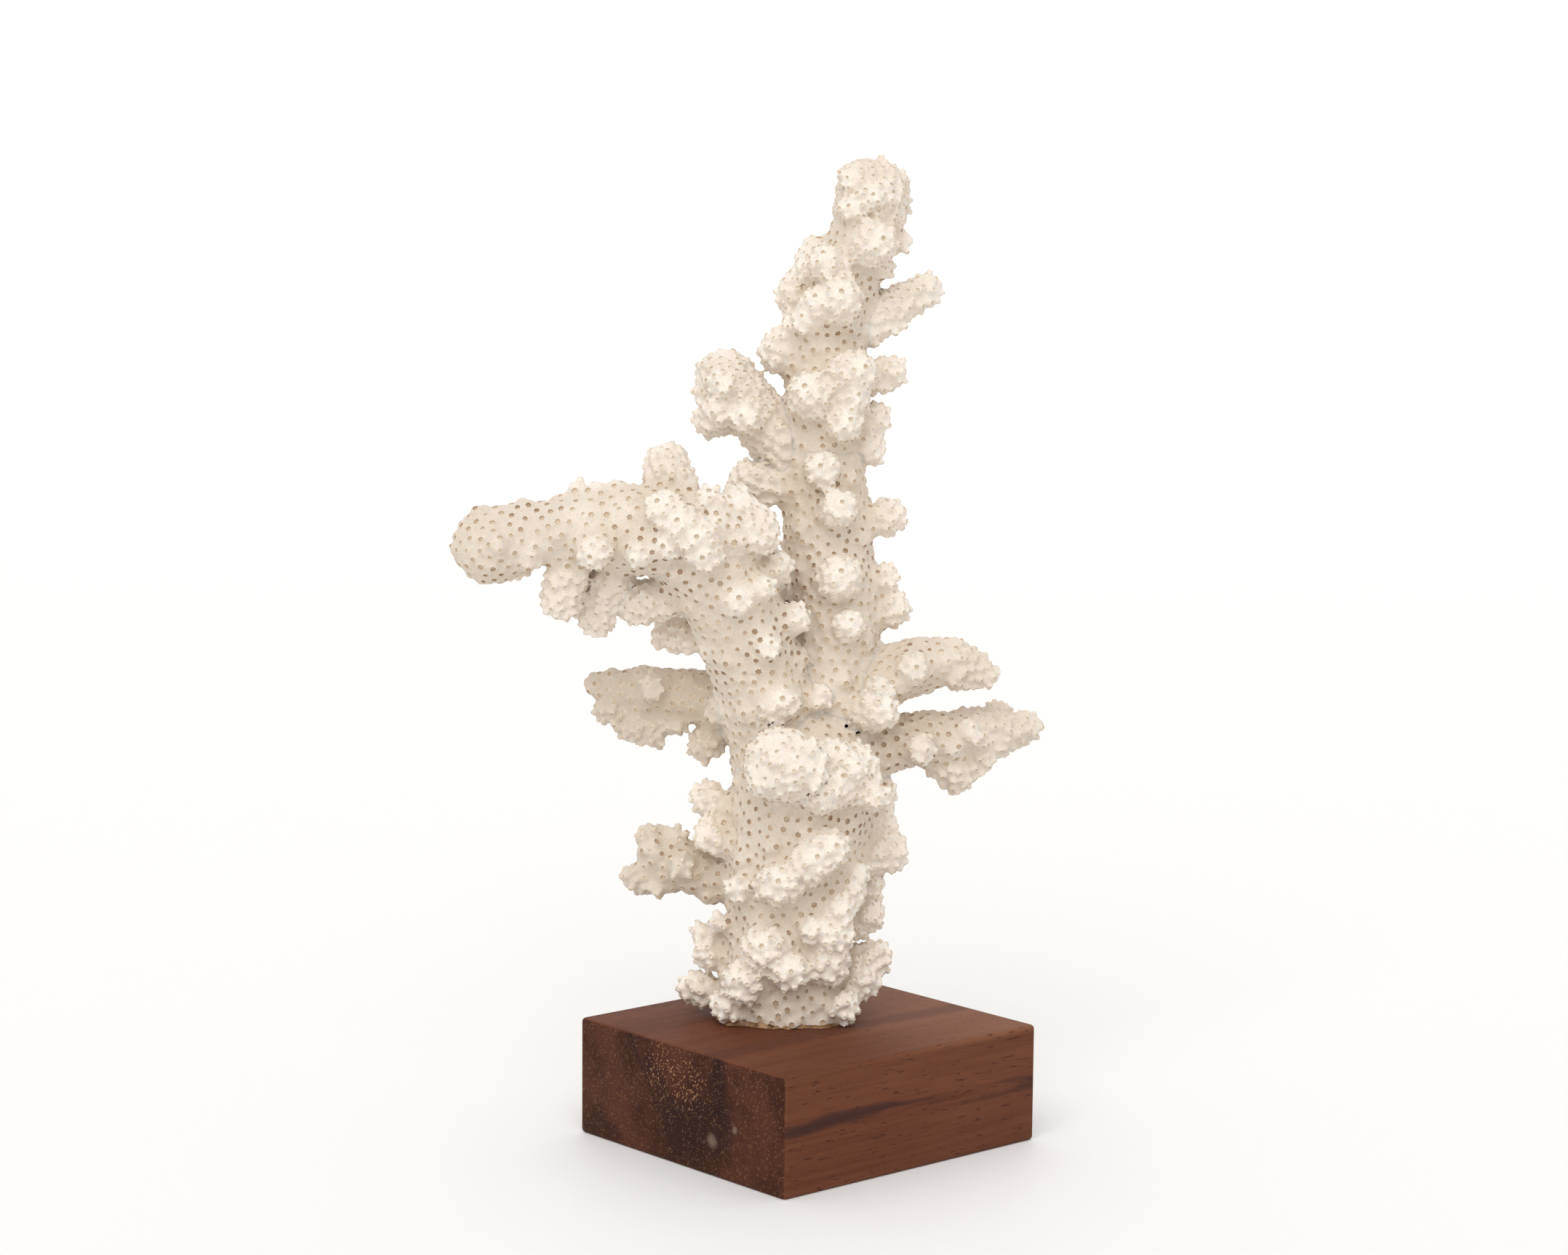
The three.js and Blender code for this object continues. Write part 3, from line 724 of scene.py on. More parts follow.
def feed(shader, **values):
    """Links or sets the shader's sockets, named with underscores for spaces."""
    for name, value in values.items():
        socket = shader.inputs[name.replace("_", " ")]
        if isinstance(value, Socket):
            value.tree.links.new(value.socket, socket)
        else:
            socket.default_value = value


# The plan of the coral


def curve_point(points, t):
    """A point of the smooth curve through the path at t, from 0 to 1, with its radius."""
    spans = len(points) - 1
    span = min(int(t * spans), spans - 1)
    part = t * spans - span
    here, there = points[span], points[span + 1]
    before = points[span - 1] if span else 2 * here - there
    after = points[span + 2] if span + 2 <= spans else 2 * there - here
    rate_in, rate_out = (there - before) / 2, (after - here) / 2
    shape = (
        here
        + rate_in * part
        + (3 * (there - here) - 2 * rate_in - rate_out) * part**2
        + (2 * (here - there) + rate_in + rate_out) * part**3
    )
    shape[3] = here[3] + (there[3] - here[3]) * part
    return shape


def limb_curve(limb):
    """The limb's path as many points, each x, y, z and radius."""
    points = np.array(limb["path"], float)
    return np.array([curve_point(points, i / CURVE_STEPS) for i in range(CURVE_STEPS + 1)])


def direction(start, end):
    """The way from one point to another, with a length of 1, and the length between them."""
    length = np.linalg.norm(end - start)
    return (end - start) / length, length


def step_lengths(curve):
    """How long each step of a limb's curve is."""
    return np.linalg.norm(np.diff(curve[:, :3], axis=0), axis=1)


def branchlet_root(curve, tip):
    """Where a branchlet leaves the limb's middle: near its tip and a little back from it."""
    middles = curve[:, :3]
    nearest = int(np.argmin(np.linalg.norm(middles - tip, axis=1)))
    reach = np.linalg.norm(middles[nearest] - tip)
    back = round(BRANCHLET_LEAN * reach / step_lengths(curve).mean())
    return middles[max(nearest - back, 0)]


def rear_branchlets(limb, curve):
    """Branchlets of the side turned away from the front, spread evenly by the golden ratio."""
    if limb.get("bare_rear"):
        return []
    middle = curve[len(curve) // 2, 3]
    count = int(math.pi * middle * step_lengths(curve).sum() / REAR_AREA + 0.5)
    found = []
    for i in range(count):
        place = (i + REAR_START) / count * (len(curve) - 1)
        k = min(int(place), len(curve) - 2)
        here = curve[k] + (curve[k + 1] - curve[k]) * (place - k)
        along = Vector(curve[k + 1, :3] - curve[k, :3]).normalized()
        across = along.cross(Vector((0, 1, 0))).normalized()
        depth = across.cross(along)
        turn = math.radians(between(REAR_TURN, TURN_STEP * (i + 1)))
        height = between(REAR_HEIGHT, HEIGHT_STEP * i)
        radius = between(REAR_RADIUS, RADIUS_STEP * i)
        out = across * math.cos(turn) + depth * math.sin(turn)
        tip = Vector(here[:3]) + out * (here[3] + height)
        found.append((*tip, min(radius, REAR_LIMIT * middle)))
    return found


def growth_plan():
    """For each limb its curve, its branchlets as root, tip and radius, and whether it is broken."""
    plan = {}
    for name, limb in LIMBS.items():
        curve = limb_curve(limb)
        branchlets = []
        for x, y, z, radius in [*limb["branchlets"], *rear_branchlets(limb, curve)]:
            tip = np.array((x, y, z), float)
            branchlets.append((branchlet_root(curve, tip), tip, radius))
        broken = limb.get("broken", False)
        plan[name] = {"curve": curve, "branchlets": branchlets, "broken": broken}
    return plan


def stretches():
    """Every straight stretch of the coral: two ends with radii, its limb's number, and 1 if it
    is a branchlet."""
    rows = []
    for number, part in enumerate(PLAN.values()):
        curve = part["curve"][::STRETCH_STEPS]
        for start, end in zip(curve[:-1], curve[1:]):
            rows.append((*start, *end, number, 0))
        for root, tip, radius in part["branchlets"]:
            inner = root + (tip - root) * (1 - radius / np.linalg.norm(tip - root))
            rows.append((*root, radius, *inner, radius * TIP_SHARE, number, 1))
    return np.array(rows, float)


def tip_plan():
    """Each tip's limb, the point, the way it faces and its radius."""
    tips = []
    for name, part in PLAN.items():
        for root, tip, radius in part["branchlets"]:
            tips.append((name, tip, direction(root, tip)[0], radius))
        last, before = part["curve"][-1], part["curve"][-2]
        if not part["broken"] and last[3] < TIP_LIMB:
            way = direction(before[:3], last[:3])[0]
            tips.append((name, last[:3] + way * last[3] * TIP_REACH, way, last[3]))
    return tips


PLAN = growth_plan()
NAMES = list(PLAN)
STRETCHES = stretches()
TIPS = tip_plan()
ENDS = np.array([part["curve"][-1, :3] for part in PLAN.values() if part["broken"]])


def rounded_end(points, bulge):
    """The points and radii of a limb whose end bulges out by a share of its radius."""
    points = [tuple(p) for p in points]
    last, before = np.array(points[-1]), np.array(points[-2])
    along = direction(before[:3], last[:3])[0]
    for i in range(1, END_RINGS + 1):
        turn = math.pi / 2 * i / END_RINGS
        place = last[:3] + along * last[3] * bulge * math.sin(turn)
        points.append((*place, max(last[3] * math.cos(turn), LAST_RING * last[3])))
    return points


def branchlet_points(root, tip, radius):
    """A stubby taper from the limb's middle to its tip, widest where it leaves the limb."""
    core = radius + BRANCHLET_SWELL
    along, length = direction(root, tip)
    straight = length - KNOB_DEPTH - core * GROWN_END
    flare = FRONT_FLARE * smoothstep(*FRONT_FACING, -along[1])
    return [
        (*(root + along * straight * share), core * (width + flare * flared))
        for share, width, flared in BRANCHLET_TAPER
    ]


def survey(points):
    """For each point in the coral's own frame: its limb, the way it grows, how far it stands
    off the limbs, how far it is from the nearest branchlet's tip, and the limb's radius there."""
    limb = np.empty(len(points), int)
    grow = np.empty((len(points), 3))
    off_limb, tip_gap, radius = np.empty((3, len(points)))
    start, start_radius = STRETCHES[:, 0:3], STRETCHES[:, 3]
    end, end_radius = STRETCHES[:, 4:7], STRETCHES[:, 7]
    owner, is_branchlet = STRETCHES[:, 8].astype(int), STRETCHES[:, 9] > 0.5
    tips = np.array([tip for _, tip, _, _ in TIPS])
    span = end - start
    length = np.maximum(np.linalg.norm(span, axis=1), 1e-6)
    way = span / length[:, None]
    at_once = 8000
    for first in range(0, len(points), at_once):
        rows = slice(first, first + at_once)
        some = points[rows]
        delta = some[:, None, :] - start[None, :, :]
        share = np.clip((delta * span[None]).sum(2) / length**2, 0, 1)
        foot = delta - share[:, :, None] * span[None]
        wide = start_radius + (end_radius - start_radius) * share
        gap = np.linalg.norm(foot, axis=2) - wide
        best = gap.argmin(1)
        limb[rows] = owner[best]
        grow[rows] = way[best]
        on_limb = np.where(is_branchlet, 1e3, gap)
        off_limb[rows] = on_limb.min(1)
        radius[rows] = wide[np.arange(len(some)), on_limb.argmin(1)]
        tip_gap[rows] = np.linalg.norm(some[:, None, :] - tips[None], axis=2).min(1)
    return limb, grow, off_limb, tip_gap, radius


def knobbliness(points, off_limb, radius, young, shade_and_age):
    """1 on branchlets and thin twigs, less near broken ends, 0 on the sides of thick limbs."""
    end_gap = np.linalg.norm(points[:, None, :] - ENDS[None], axis=2).min(1)
    twig = smoothstep(*TWIG_RADIUS, radius) * (1.0 - shade_and_age)
    knob = np.maximum(smoothstep(*OFF_LIMB, off_limb), twig)
    near_end = PARTLY_YOUNG * smoothstep(*END_GAP, end_gap)
    return np.maximum.reduce((knob, near_end, PARTLY_YOUNG * young))


# Coral materials


def coral_skin_material(settings):
    """Bleached skeleton: warm in broad random clouds, with fine pores all over. It is whiter on the
    branchlets and near the tips, partly as young growth is and partly as painted light: a painted
    highlight on the nub heads, with the limb sides between them kept darker as painted shade.
    """
    material, tree, shader = new_material("coral_skin")
    place = object_place(tree)
    broad = noise(place, 70.0, 2.0)
    patch = noise(place, 260.0, 3.0)
    grain = noise(place, 2600.0, 3.0, 0.65)
    cells = make(tree, "ShaderNodeTexVoronoi", None, {"Vector": place, "Scale": 1700.0})
    pores = cells.step(0.42, 0.12)
    # A warmer tone in broad random clouds
    colour = mix(broad.step(0.35, 0.7) * 0.6, settings.skin_colour, WARM_CLOUD)
    colour = mix(patch.step(0.5, 0.75) * 0.3, colour, ROSY_PATCH)
    # Whiter on the branchlets and near the tips, partly as young growth is and partly painted
    # light: a painted highlight on the nub heads, with the limb sides between them left darker as
    # painted shade
    colour = mix(kept(tree, "knob") * 0.5 + kept(tree, "tip") * 0.5, colour, settings.pale_tip_and_highlight_colour)
    # Painted shade: the side branches that stand back behind the limbs are darker, as in their
    # shade
    colour = mix(kept(tree, "shade_and_age") * 0.5, colour, PAINTED_SHADE_SKIN)
    colour = mix(grain.step(0.62, 0.42) * 0.16, colour, SKIN_SPECK)
    colour = mix(pores * 0.22, colour, SKIN_PORE)
    colour = mix(near_line(place, STAIN, STAIN, *STAIN_REACH) * 0.4, colour, PINK_STAIN)
    bump = bumps(grain + patch * 1.2 - pores * 0.5, 0.35, 0.14 * MM)
    feed(shader, Base_Color=colour, Roughness=0.82, Normal=bump, Specular_IOR_Level=0.06)
    feed(shader, Subsurface_Weight=0.35, Subsurface_Scale=0.65 * MM, Subsurface_Radius=SKIN_SCATTER)
    return material


def coral_cup_material(settings):
    """Inside of the cups: brown in patches of the old limbs, pale in the young branchlets."""
    material, tree, shader = new_material("coral_cup")
    patch = noise(object_place(tree), 80.0, 1.0)
    brown = patch.step(0.42, 0.64) * 0.9 + kept(tree, "tone") * 0.45 - 0.22
    aged = mix(brown, AGED_CUP, settings.cup_colour)
    colour = mix(kept(tree, "knob").step(0.05, 0.55), aged, FRESH_CUP)
    feed(shader, Base_Color=colour, Roughness=0.9, Specular_IOR_Level=0.1)
    return material


# Cups of the coral animals


def turned_tool(name, sides, profile, notch=0.0):
    """A closed form drawn up ring by ring, each a radius and a height in millimetres.

    Every second corner of a ring is drawn in by the notch, as the walls inside a cup are."""
    radius, height = profile[0]
    ring = {"vertices": sides, "radius": radius * MM, "location": (0, 0, height * MM)}
    tool = add(bpy.ops.mesh.primitive_circle_add, name, fill_type="NGON", **ring)
    settle(tool)
    bpy.ops.object.mode_set(mode="EDIT")
    for (old_radius, old_height), (new_radius, new_height) in zip(profile[:-1], profile[1:]):
        rise = (new_height - old_height) * MM
        share = new_radius / old_radius
        bpy.ops.mesh.extrude_region_move(TRANSFORM_OT_translate={"value": (0, 0, rise)})
        bpy.ops.transform.resize(value=(share, share, 1), center_override=(0, 0, 0))
    bpy.ops.mesh.select_all(action="SELECT")
    bpy.ops.mesh.normals_make_consistent(inside=False)
    bpy.ops.object.mode_set(mode="OBJECT")
    for vertex in tool.data.vertices:
        turn = math.atan2(vertex.co.y, vertex.co.x)
        if round(turn / (2 * math.pi / sides)) % 2:
            vertex.co.xy *= 1 - notch
    return tool


def bud(name, radius, stand):
    """A ball that swells the skin round a cup, standing out of it by so many millimetres."""
    ball = {"subdivisions": 2, "radius": radius * MM, "location": (0, 0, (stand - radius) * MM)}
    made = add(bpy.ops.mesh.primitive_ico_sphere_add, name, **ball)
    settle(made)
    return made


def cup_tools(cup_material):
    """What is set at the cups: the balls and snouts that swell the skin, and the cutters."""
    tools = {
        "knoll": bud("knoll", *KNOLL),
        "old_bud": bud("old_bud", *OLD_BUD),
        "young_bud": turned_tool("young_bud", *YOUNG_SNOUT),
        "tip_bud": bud("tip_bud", *TIP_BUD),
        "old_cup": turned_tool("old_cup", *OLD_CUP),
        "young_cup": turned_tool("young_cup", *YOUNG_CUP),
        "tip_cup": turned_tool("tip_cup", *TIP_CUP),
    }
    for tool in tools.values():
        tool.data.materials.append(cup_material)
    tip_mesh = tools["tip_cup"].data
    store(tip_mesh, "knob", np.ones(len(tip_mesh.vertices)))
    return tools


def scatter(skin, name, stamp, spacing, young, lean, sizes, room="room"):
    """Sets copies of one thing at the skin's cups, either the young ones or the old, as one mesh.

    The copies stand along the skin's normal, leaning by a share towards the way it grows."""
    tree = bpy.data.node_groups.new(name, "GeometryNodeTree")
    for way in ("INPUT", "OUTPUT"):
        tree.interface.new_socket("Geometry", in_out=way, socket_type="NodeSocketGeometry")

    def named(attribute, kind="FLOAT"):
        settings = {"data_type": kind}
        return make(tree, "GeometryNodeInputNamedAttribute", settings, {"Name": attribute})

    def chance(low, high, seed):
        sockets = {2: low, 3: high, "Seed": seed}
        return make(tree, "FunctionNodeRandomValue", {"data_type": "FLOAT"}, sockets, 1)

    spread = {
        "Mesh": make(tree, "NodeGroupInput"),
        "Distance Min": spacing,
        "Density Max": 6.0 / spacing**2,
        "Density Factor": named(room),
        "Seed": 3,
    }
    kind = "GeometryNodeDistributePointsOnFaces"
    points = make(tree, kind, {"distribute_method": "POISSON"}, spread)
    normal = Socket(tree, points.socket.node.outputs["Normal"])
    grow = named("grow", "FLOAT_VECTOR")
    lifted = vector_maths("SCALE", normal, Scale=1.0 - lean)
    pushed = vector_maths("SCALE", grow, Scale=lean)
    way = vector_maths("NORMALIZE", vector_maths("ADD", lifted, pushed))
    axes = {"primary_axis": "Z", "secondary_axis": "X"}
    ways = {"Primary Axis": way, "Secondary Axis": grow}
    age = {"data_type": "FLOAT", "operation": "GREATER_THAN" if young else "LESS_EQUAL"}
    sockets = {
        "Points": points,
        "Selection": make(tree, "FunctionNodeCompare", age, {0: named("knob"), 1: YOUNG}),
        "Instance": make(tree, "GeometryNodeObjectInfo", None, {"Object": stamp}, "Geometry"),
        "Rotation": make(tree, "FunctionNodeAxesToRotation", axes, ways),
        "Scale": chance(*sizes, 1),
    }
    copies = make(tree, "GeometryNodeInstanceOnPoints", None, sockets)
    sockets = {"Geometry": copies, "Name": "tone", "Value": chance(0.0, 1.0, 2)}
    settings = {"data_type": "FLOAT", "domain": "INSTANCE"}
    toned = make(tree, "GeometryNodeStoreNamedAttribute", settings, sockets)
    real = make(tree, "GeometryNodeRealizeInstances", None, {"Geometry": toned})
    tree.links.new(real.socket, tree.nodes.new("NodeGroupOutput").inputs[0])

    select_only(skin)
    bpy.ops.object.duplicate()
    copies = bpy.context.object
    copies.name = name
    apply_modifier(copies, "NODES", node_group=tree)
    bpy.data.node_groups.remove(tree)
    return copies


# The coral's skin


def melt_limbs(settings):
    """All limbs and branchlets as tubes, melted into one closed skin with soft joins."""
    tubes = add(bpy.ops.curve.primitive_bezier_curve_add, "coral")
    tubes.data.splines.clear()
    tubes.data.dimensions = "3D"
    tubes.data.bevel_depth = MM
    tubes.data.bevel_resolution = 4
    tubes.data.use_fill_caps = True
    lines = []
    for part in PLAN.values():
        curve = part["curve"].copy()
        curve[:, 3] -= LIMB_SLIMMING * smoothstep(*THICK_LIMB, curve[:, 3])
        lines.append(rounded_end(curve, BROKEN_END if part["broken"] else GROWN_END))
        for root, tip, radius in part["branchlets"]:
            lines.append(rounded_end(branchlet_points(root, tip, radius), GROWN_END))
    for line in lines:
        spline = tubes.data.splines.new("POLY")
        spline.points.add(len(line) - 1)
        for point, (x, y, z, radius) in zip(spline.points, line):
            point.co = (*(TO_MODEL @ Vector((x, y, z))), 1.0)
            point.radius = radius
    select_only(tubes)
    bpy.ops.object.convert(target="MESH")
    skin = bpy.context.object
    melt(skin, settings.skin_voxel)
    apply_modifier(skin, "SMOOTH", factor=0.5, iterations=4)
    ripple(skin, *SKIN_LUMPS)
    return skin


def is_closed(mesh):
    """Whether every edge has exactly two faces."""
    edges = read(mesh.loops, "edge_index")
    return bool((np.bincount(edges, minlength=len(mesh.edges)) == 2).all())


def apply_closed(skin, kind, name, value, **settings):
    """Applies a modifier to a closed skin, changing one setting a little until it stays closed."""
    before = skin.data.copy()
    for _ in range(CLOSING_TRIES):
        apply_modifier(skin, kind, **{name: value}, **settings)
        if is_closed(skin.data):
            bpy.data.meshes.remove(before)
            return
        skin.data = before.copy()
        value *= CLOSING_STEP
    raise RuntimeError("the skin could not be kept closed by " + kind.lower())


def melt(skin, voxel):
    """Melts closed forms into one skin."""
    apply_closed(skin, "REMESH", "voxel_size", voxel, mode="VOXEL")


def ripple(skin, size, strength):
    """Pushes the skin in and out unevenly, by lumps of one size."""
    clouds = bpy.data.textures.new("clouds", "CLOUDS")
    clouds.noise_scale = size
    apply_modifier(skin, "DISPLACE", texture=clouds, strength=strength, mid_level=0.5)
    bpy.data.textures.remove(clouds)


def cut(piece, tool):
    """Cuts a closed tool out of a closed piece and removes the tool."""
    settings = {"operation": "DIFFERENCE", "solver": "MANIFOLD", "material_mode": "TRANSFER"}
    apply_modifier(piece, "BOOLEAN", object=tool, **settings)
    bpy.data.objects.remove(tool)
    if not is_closed(piece.data):
        raise RuntimeError(piece.name + " could not be cut cleanly")


def cut_foot(skin):
    """Cuts the skin off just above the block, along an uneven edge."""
    room = add(bpy.ops.mesh.primitive_cube_add, "below_the_foot", size=1)
    room.scale = BLOCK_HIGH - BLOCK_LOW
    room.location.z = FOOT.z - room.scale.z / 2
    settle(room)
    bpy.ops.object.mode_set(mode="EDIT")
    bpy.ops.mesh.subdivide(number_cuts=FOOT_CUTS)
    bpy.ops.object.mode_set(mode="OBJECT")
    for vertex in room.data.vertices:
        if vertex.co.z > FOOT.z - FOOT_NEAR:
            lump = max(lumps(vertex.co / FOOT_LUMP), 0.0)
            vertex.co.z += (FOOT_HEIGHT + FOOT_LUMP_HEIGHT * lump) * MM
    cut(skin, room)


def blur(values, owners, count):
    """The mean of the values of each owner."""
    weight = np.maximum(np.bincount(owners, minlength=count), 1)
    columns = [np.bincount(owners, column, minlength=count) / weight for column in values.T]
    return np.stack(columns, axis=1)


def untangle(mesh, face_limb, corners, face_of_corner):
    """Hands faces over where two parts of one limb would only touch at a single vertex."""
    edges = read(mesh.loops, "edge_index")
    beside = face_of_corner[np.argsort(edges, kind="stable")].reshape(-1, 2)
    ends = read(mesh.edges, "vertices", width=2)
    kinds = len(NAMES)
    size = len(mesh.vertices) * kinds
    for _ in range(UNTANGLING_ROUNDS):
        faces = np.bincount(corners * kinds + face_limb[face_of_corner], minlength=size)
        inner = face_limb[beside[:, 0]] == face_limb[beside[:, 1]]
        owner = face_limb[beside[inner, 0]]
        seams = sum(np.bincount(ends[inner, i] * kinds + owner, minlength=size) for i in (0, 1))
        faces, seams = faces.reshape(-1, kinds), seams.reshape(-1, kinds)
        pinched = ((faces - seams) > 1).any(1)
        if not pinched.any():
            return face_limb
        winner = faces.argmax(1)
        touched = pinched[corners]
        face_limb[face_of_corner[touched]] = winner[corners[touched]]
    raise RuntimeError("the borders between the limbs could not be untangled")


def mark_skin(skin):
    """Keeps on the skin which limb each face belongs to, and what grows where."""
    mesh = skin.data
    to_coral = np.array(TO_MODEL.inverted())
    points = read(mesh.vertices, "co", float, 3) @ to_coral[:3, :3].T + to_coral[:3, 3]
    limb, grow, off_limb, tip_gap, radius = survey(points)
    corners = read(mesh.loops, "vertex_index")
    sides = read(mesh.polygons, "loop_total")
    face_of_corner = np.repeat(np.arange(len(sides)), sides)
    share = np.eye(len(NAMES))[limb]
    for _ in range(BORDER_SOFTENING):
        faces = blur(share[corners], face_of_corner, len(sides))
        share = blur(faces[face_of_corner], corners, len(points))
    face_limb = blur(share[corners], face_of_corner, len(sides)).argmax(1)
    face_limb = untangle(mesh, face_limb, corners, face_of_corner)
    young, shade_and_age = (
        share @ np.array([each.get(kind, 0.0) for each in LIMBS.values()])
        for kind in ("young", "shade_and_age")
    )
    inland = smoothstep(*INLAND, share.max(1))
    swell = smoothstep(*ABOVE_FOOT, points[:, 2]) * smoothstep(*TIP_ROOM, tip_gap)
    turn = np.array(TO_MODEL.to_3x3().normalized())
    for name in [a.name for a in mesh.attributes if a.name in MARKS]:
        mesh.attributes.remove(mesh.attributes[name])
    store(mesh, "limb", face_limb, "FACE", "INT")
    store(mesh, "grow", grow @ turn.T, kind="FLOAT_VECTOR")
    store(mesh, "knob", knobbliness(points, off_limb, radius, young, shade_and_age))
    # How near a tip the skin is, for its whiter colour: partly young growth, partly a painted
    # highlight on the nub heads
    store(mesh, "tip", smoothstep(*TIP_PALE_AND_HIGHLIGHT, tip_gap))
    store(mesh, "swell", swell)
    store(mesh, "room", inland * swell)
    store(mesh, "tone", np.zeros(len(points)))
    # How far the skin is darkened as painted shade on the set-back branches, which also keeps old
    # cups on their twigs
    store(mesh, "shade_and_age", shade_and_age)


def face_marks(mesh):
    """Which limb each face belongs to, whether it is kept on faces or on vertices."""
    marks = mesh.attributes["limb"]
    limb = read(marks.data, "value")
    if marks.domain == "POINT":
        corners = read(mesh.loops, "vertex_index")
        limb = limb[corners[read(mesh.polygons, "loop_start")]]
    return limb


def part_limbs(item, suffix):
    """Separates a mesh into one closed piece for each limb that it has faces of."""
    pieces = {}
    for number, name in enumerate(NAMES):
        mine = face_marks(item.data) == number
        if not mine.any():
            continue
        piece = item
        if not mine.all():
            select_only(item)
            bpy.ops.object.mode_set(mode="EDIT")
            bpy.ops.mesh.select_mode(type="FACE")
            bpy.ops.mesh.select_all(action="DESELECT")
            bpy.ops.object.mode_set(mode="OBJECT")
            item.data.polygons.foreach_set("select", mine)
            bpy.ops.object.mode_set(mode="EDIT")
            bpy.ops.mesh.separate(type="SELECTED")
            bpy.ops.object.mode_set(mode="OBJECT")
            piece = next(o for o in bpy.context.selected_objects if o != item)
        piece.name = name + suffix
        pieces[name] = piece
    return pieces


def cap(piece):
    """Closes the places where a piece was parted from its neighbours."""
    select_only(piece)
    bpy.ops.object.mode_set(mode="EDIT")
    bpy.ops.mesh.select_mode(type="EDGE")
    bpy.ops.mesh.select_all(action="DESELECT")
    bpy.ops.mesh.select_non_manifold()
    bpy.ops.mesh.extrude_edges_move()
    bpy.ops.mesh.merge(type="COLLAPSE")
    bpy.ops.mesh.select_all(action="SELECT")
    bpy.ops.mesh.normals_make_consistent(inside=False)
    bpy.ops.object.mode_set(mode="OBJECT")


def tip_places(skin):
    """Each tip's limb, and where its youngest cup sits on the skin, as a matrix."""
    places = []
    for name, tip, way, radius in TIPS:
        start = TO_MODEL @ Vector(tip + way * TIP_START)
        outward = (TO_MODEL.to_3x3() @ Vector(way)).normalized()
        hit, place, _, _ = skin.ray_cast(start, -outward, distance=TIP_SEARCH)
        if hit:
            size = min(max(radius / TIP_RADIUS, TIP_SIZES[0]), TIP_SIZES[1])
            turn = outward.to_track_quat("Z", "X").to_matrix().to_4x4()
            places.append((name, Matrix.Translation(place) @ turn @ Matrix.Scale(size, 4)))
    return places


def copy_at(stamp, matrix):
    """A copy of a thing with its own mesh, placed by a matrix."""
    select_only(stamp)
    bpy.ops.object.duplicate()
    made = bpy.context.object
    made.matrix_world = matrix
    settle(made)
    return made


def lumpy_skin(settings, tools):
    """The melted limbs with broad knolls on their old sides."""
    skin = melt_limbs(settings)
    mark_skin(skin)
    spread = (KNOLL_SPACING, False, KNOLL_LEAN, KNOLL_SIZES, "swell")
    knolls = scatter(skin, "knolls", tools["knoll"], *spread)
    join(skin, knolls)
    melt(skin, settings.skin_voxel)
    apply_modifier(skin, "SMOOTH", factor=0.5, iterations=2)
    mark_skin(skin)
    return skin


def swell_skin(skin, buds, settings):
    """Melts the swellings round the cups into the skin, and gives it its grit and its foot."""
    join(skin, *buds)
    melt(skin, settings.fine_voxel)
    apply_modifier(skin, "SMOOTH", factor=0.5, iterations=1)
    ripple(skin, *SKIN_GRIT)
    apply_closed(skin, "DECIMATE", "ratio", settings.kept_faces)
    cut_foot(skin)
    mark_skin(skin)


class SPECIMEN_OT_coral(bpy.types.Operator):
    """Grow the coral: one skin melted from its limbs, swollen round every cup, then the cups"""

    bl_idname = "specimen.coral"
    bl_label = "Coral"

    def execute(self, context):
        settings = context.scene.specimen_coral
        tools = cup_tools(coral_cup_material(settings))
        skin = lumpy_skin(settings, tools)
        places = tip_places(skin)
        old = (settings.cup_spacing, False, 0.0, CUP_SIZES)
        young = (YOUNG_SPACING * settings.cup_spacing, True, YOUNG_LEAN, CUP_SIZES)
        cutters = [
            scatter(skin, "old_cups", tools["old_cup"], *old),
            scatter(skin, "young_cups", tools["young_cup"], *young),
        ]
        buds = [
            scatter(skin, "old_buds", tools["old_bud"], *old, "swell"),
            scatter(skin, "young_buds", tools["young_bud"], *young, "swell"),
            *(copy_at(tools["tip_bud"], place) for _, place in places),
        ]
        swell_skin(skin, buds, settings)
        skin.data.materials.clear()
        skin.data.materials.append(coral_skin_material(settings))

        pieces = part_limbs(skin, "_coral")
        cutters = part_limbs(join(*cutters), "_cups")
        for name, piece in pieces.items():
            cap(piece)
            holes = [copy_at(tools["tip_cup"], place) for owner, place in places if owner == name]
            if name in cutters:
                holes.insert(0, cutters[name])
            cut(piece, join(*holes))
            select_only(piece)
            bpy.ops.object.shade_smooth_by_angle(angle=CORAL_SMOOTH)
            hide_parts(name)
            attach(piece, "root")
        for tool in tools.values():
            bpy.data.objects.remove(tool)
        return {"FINISHED"}


# The block and the adhesive


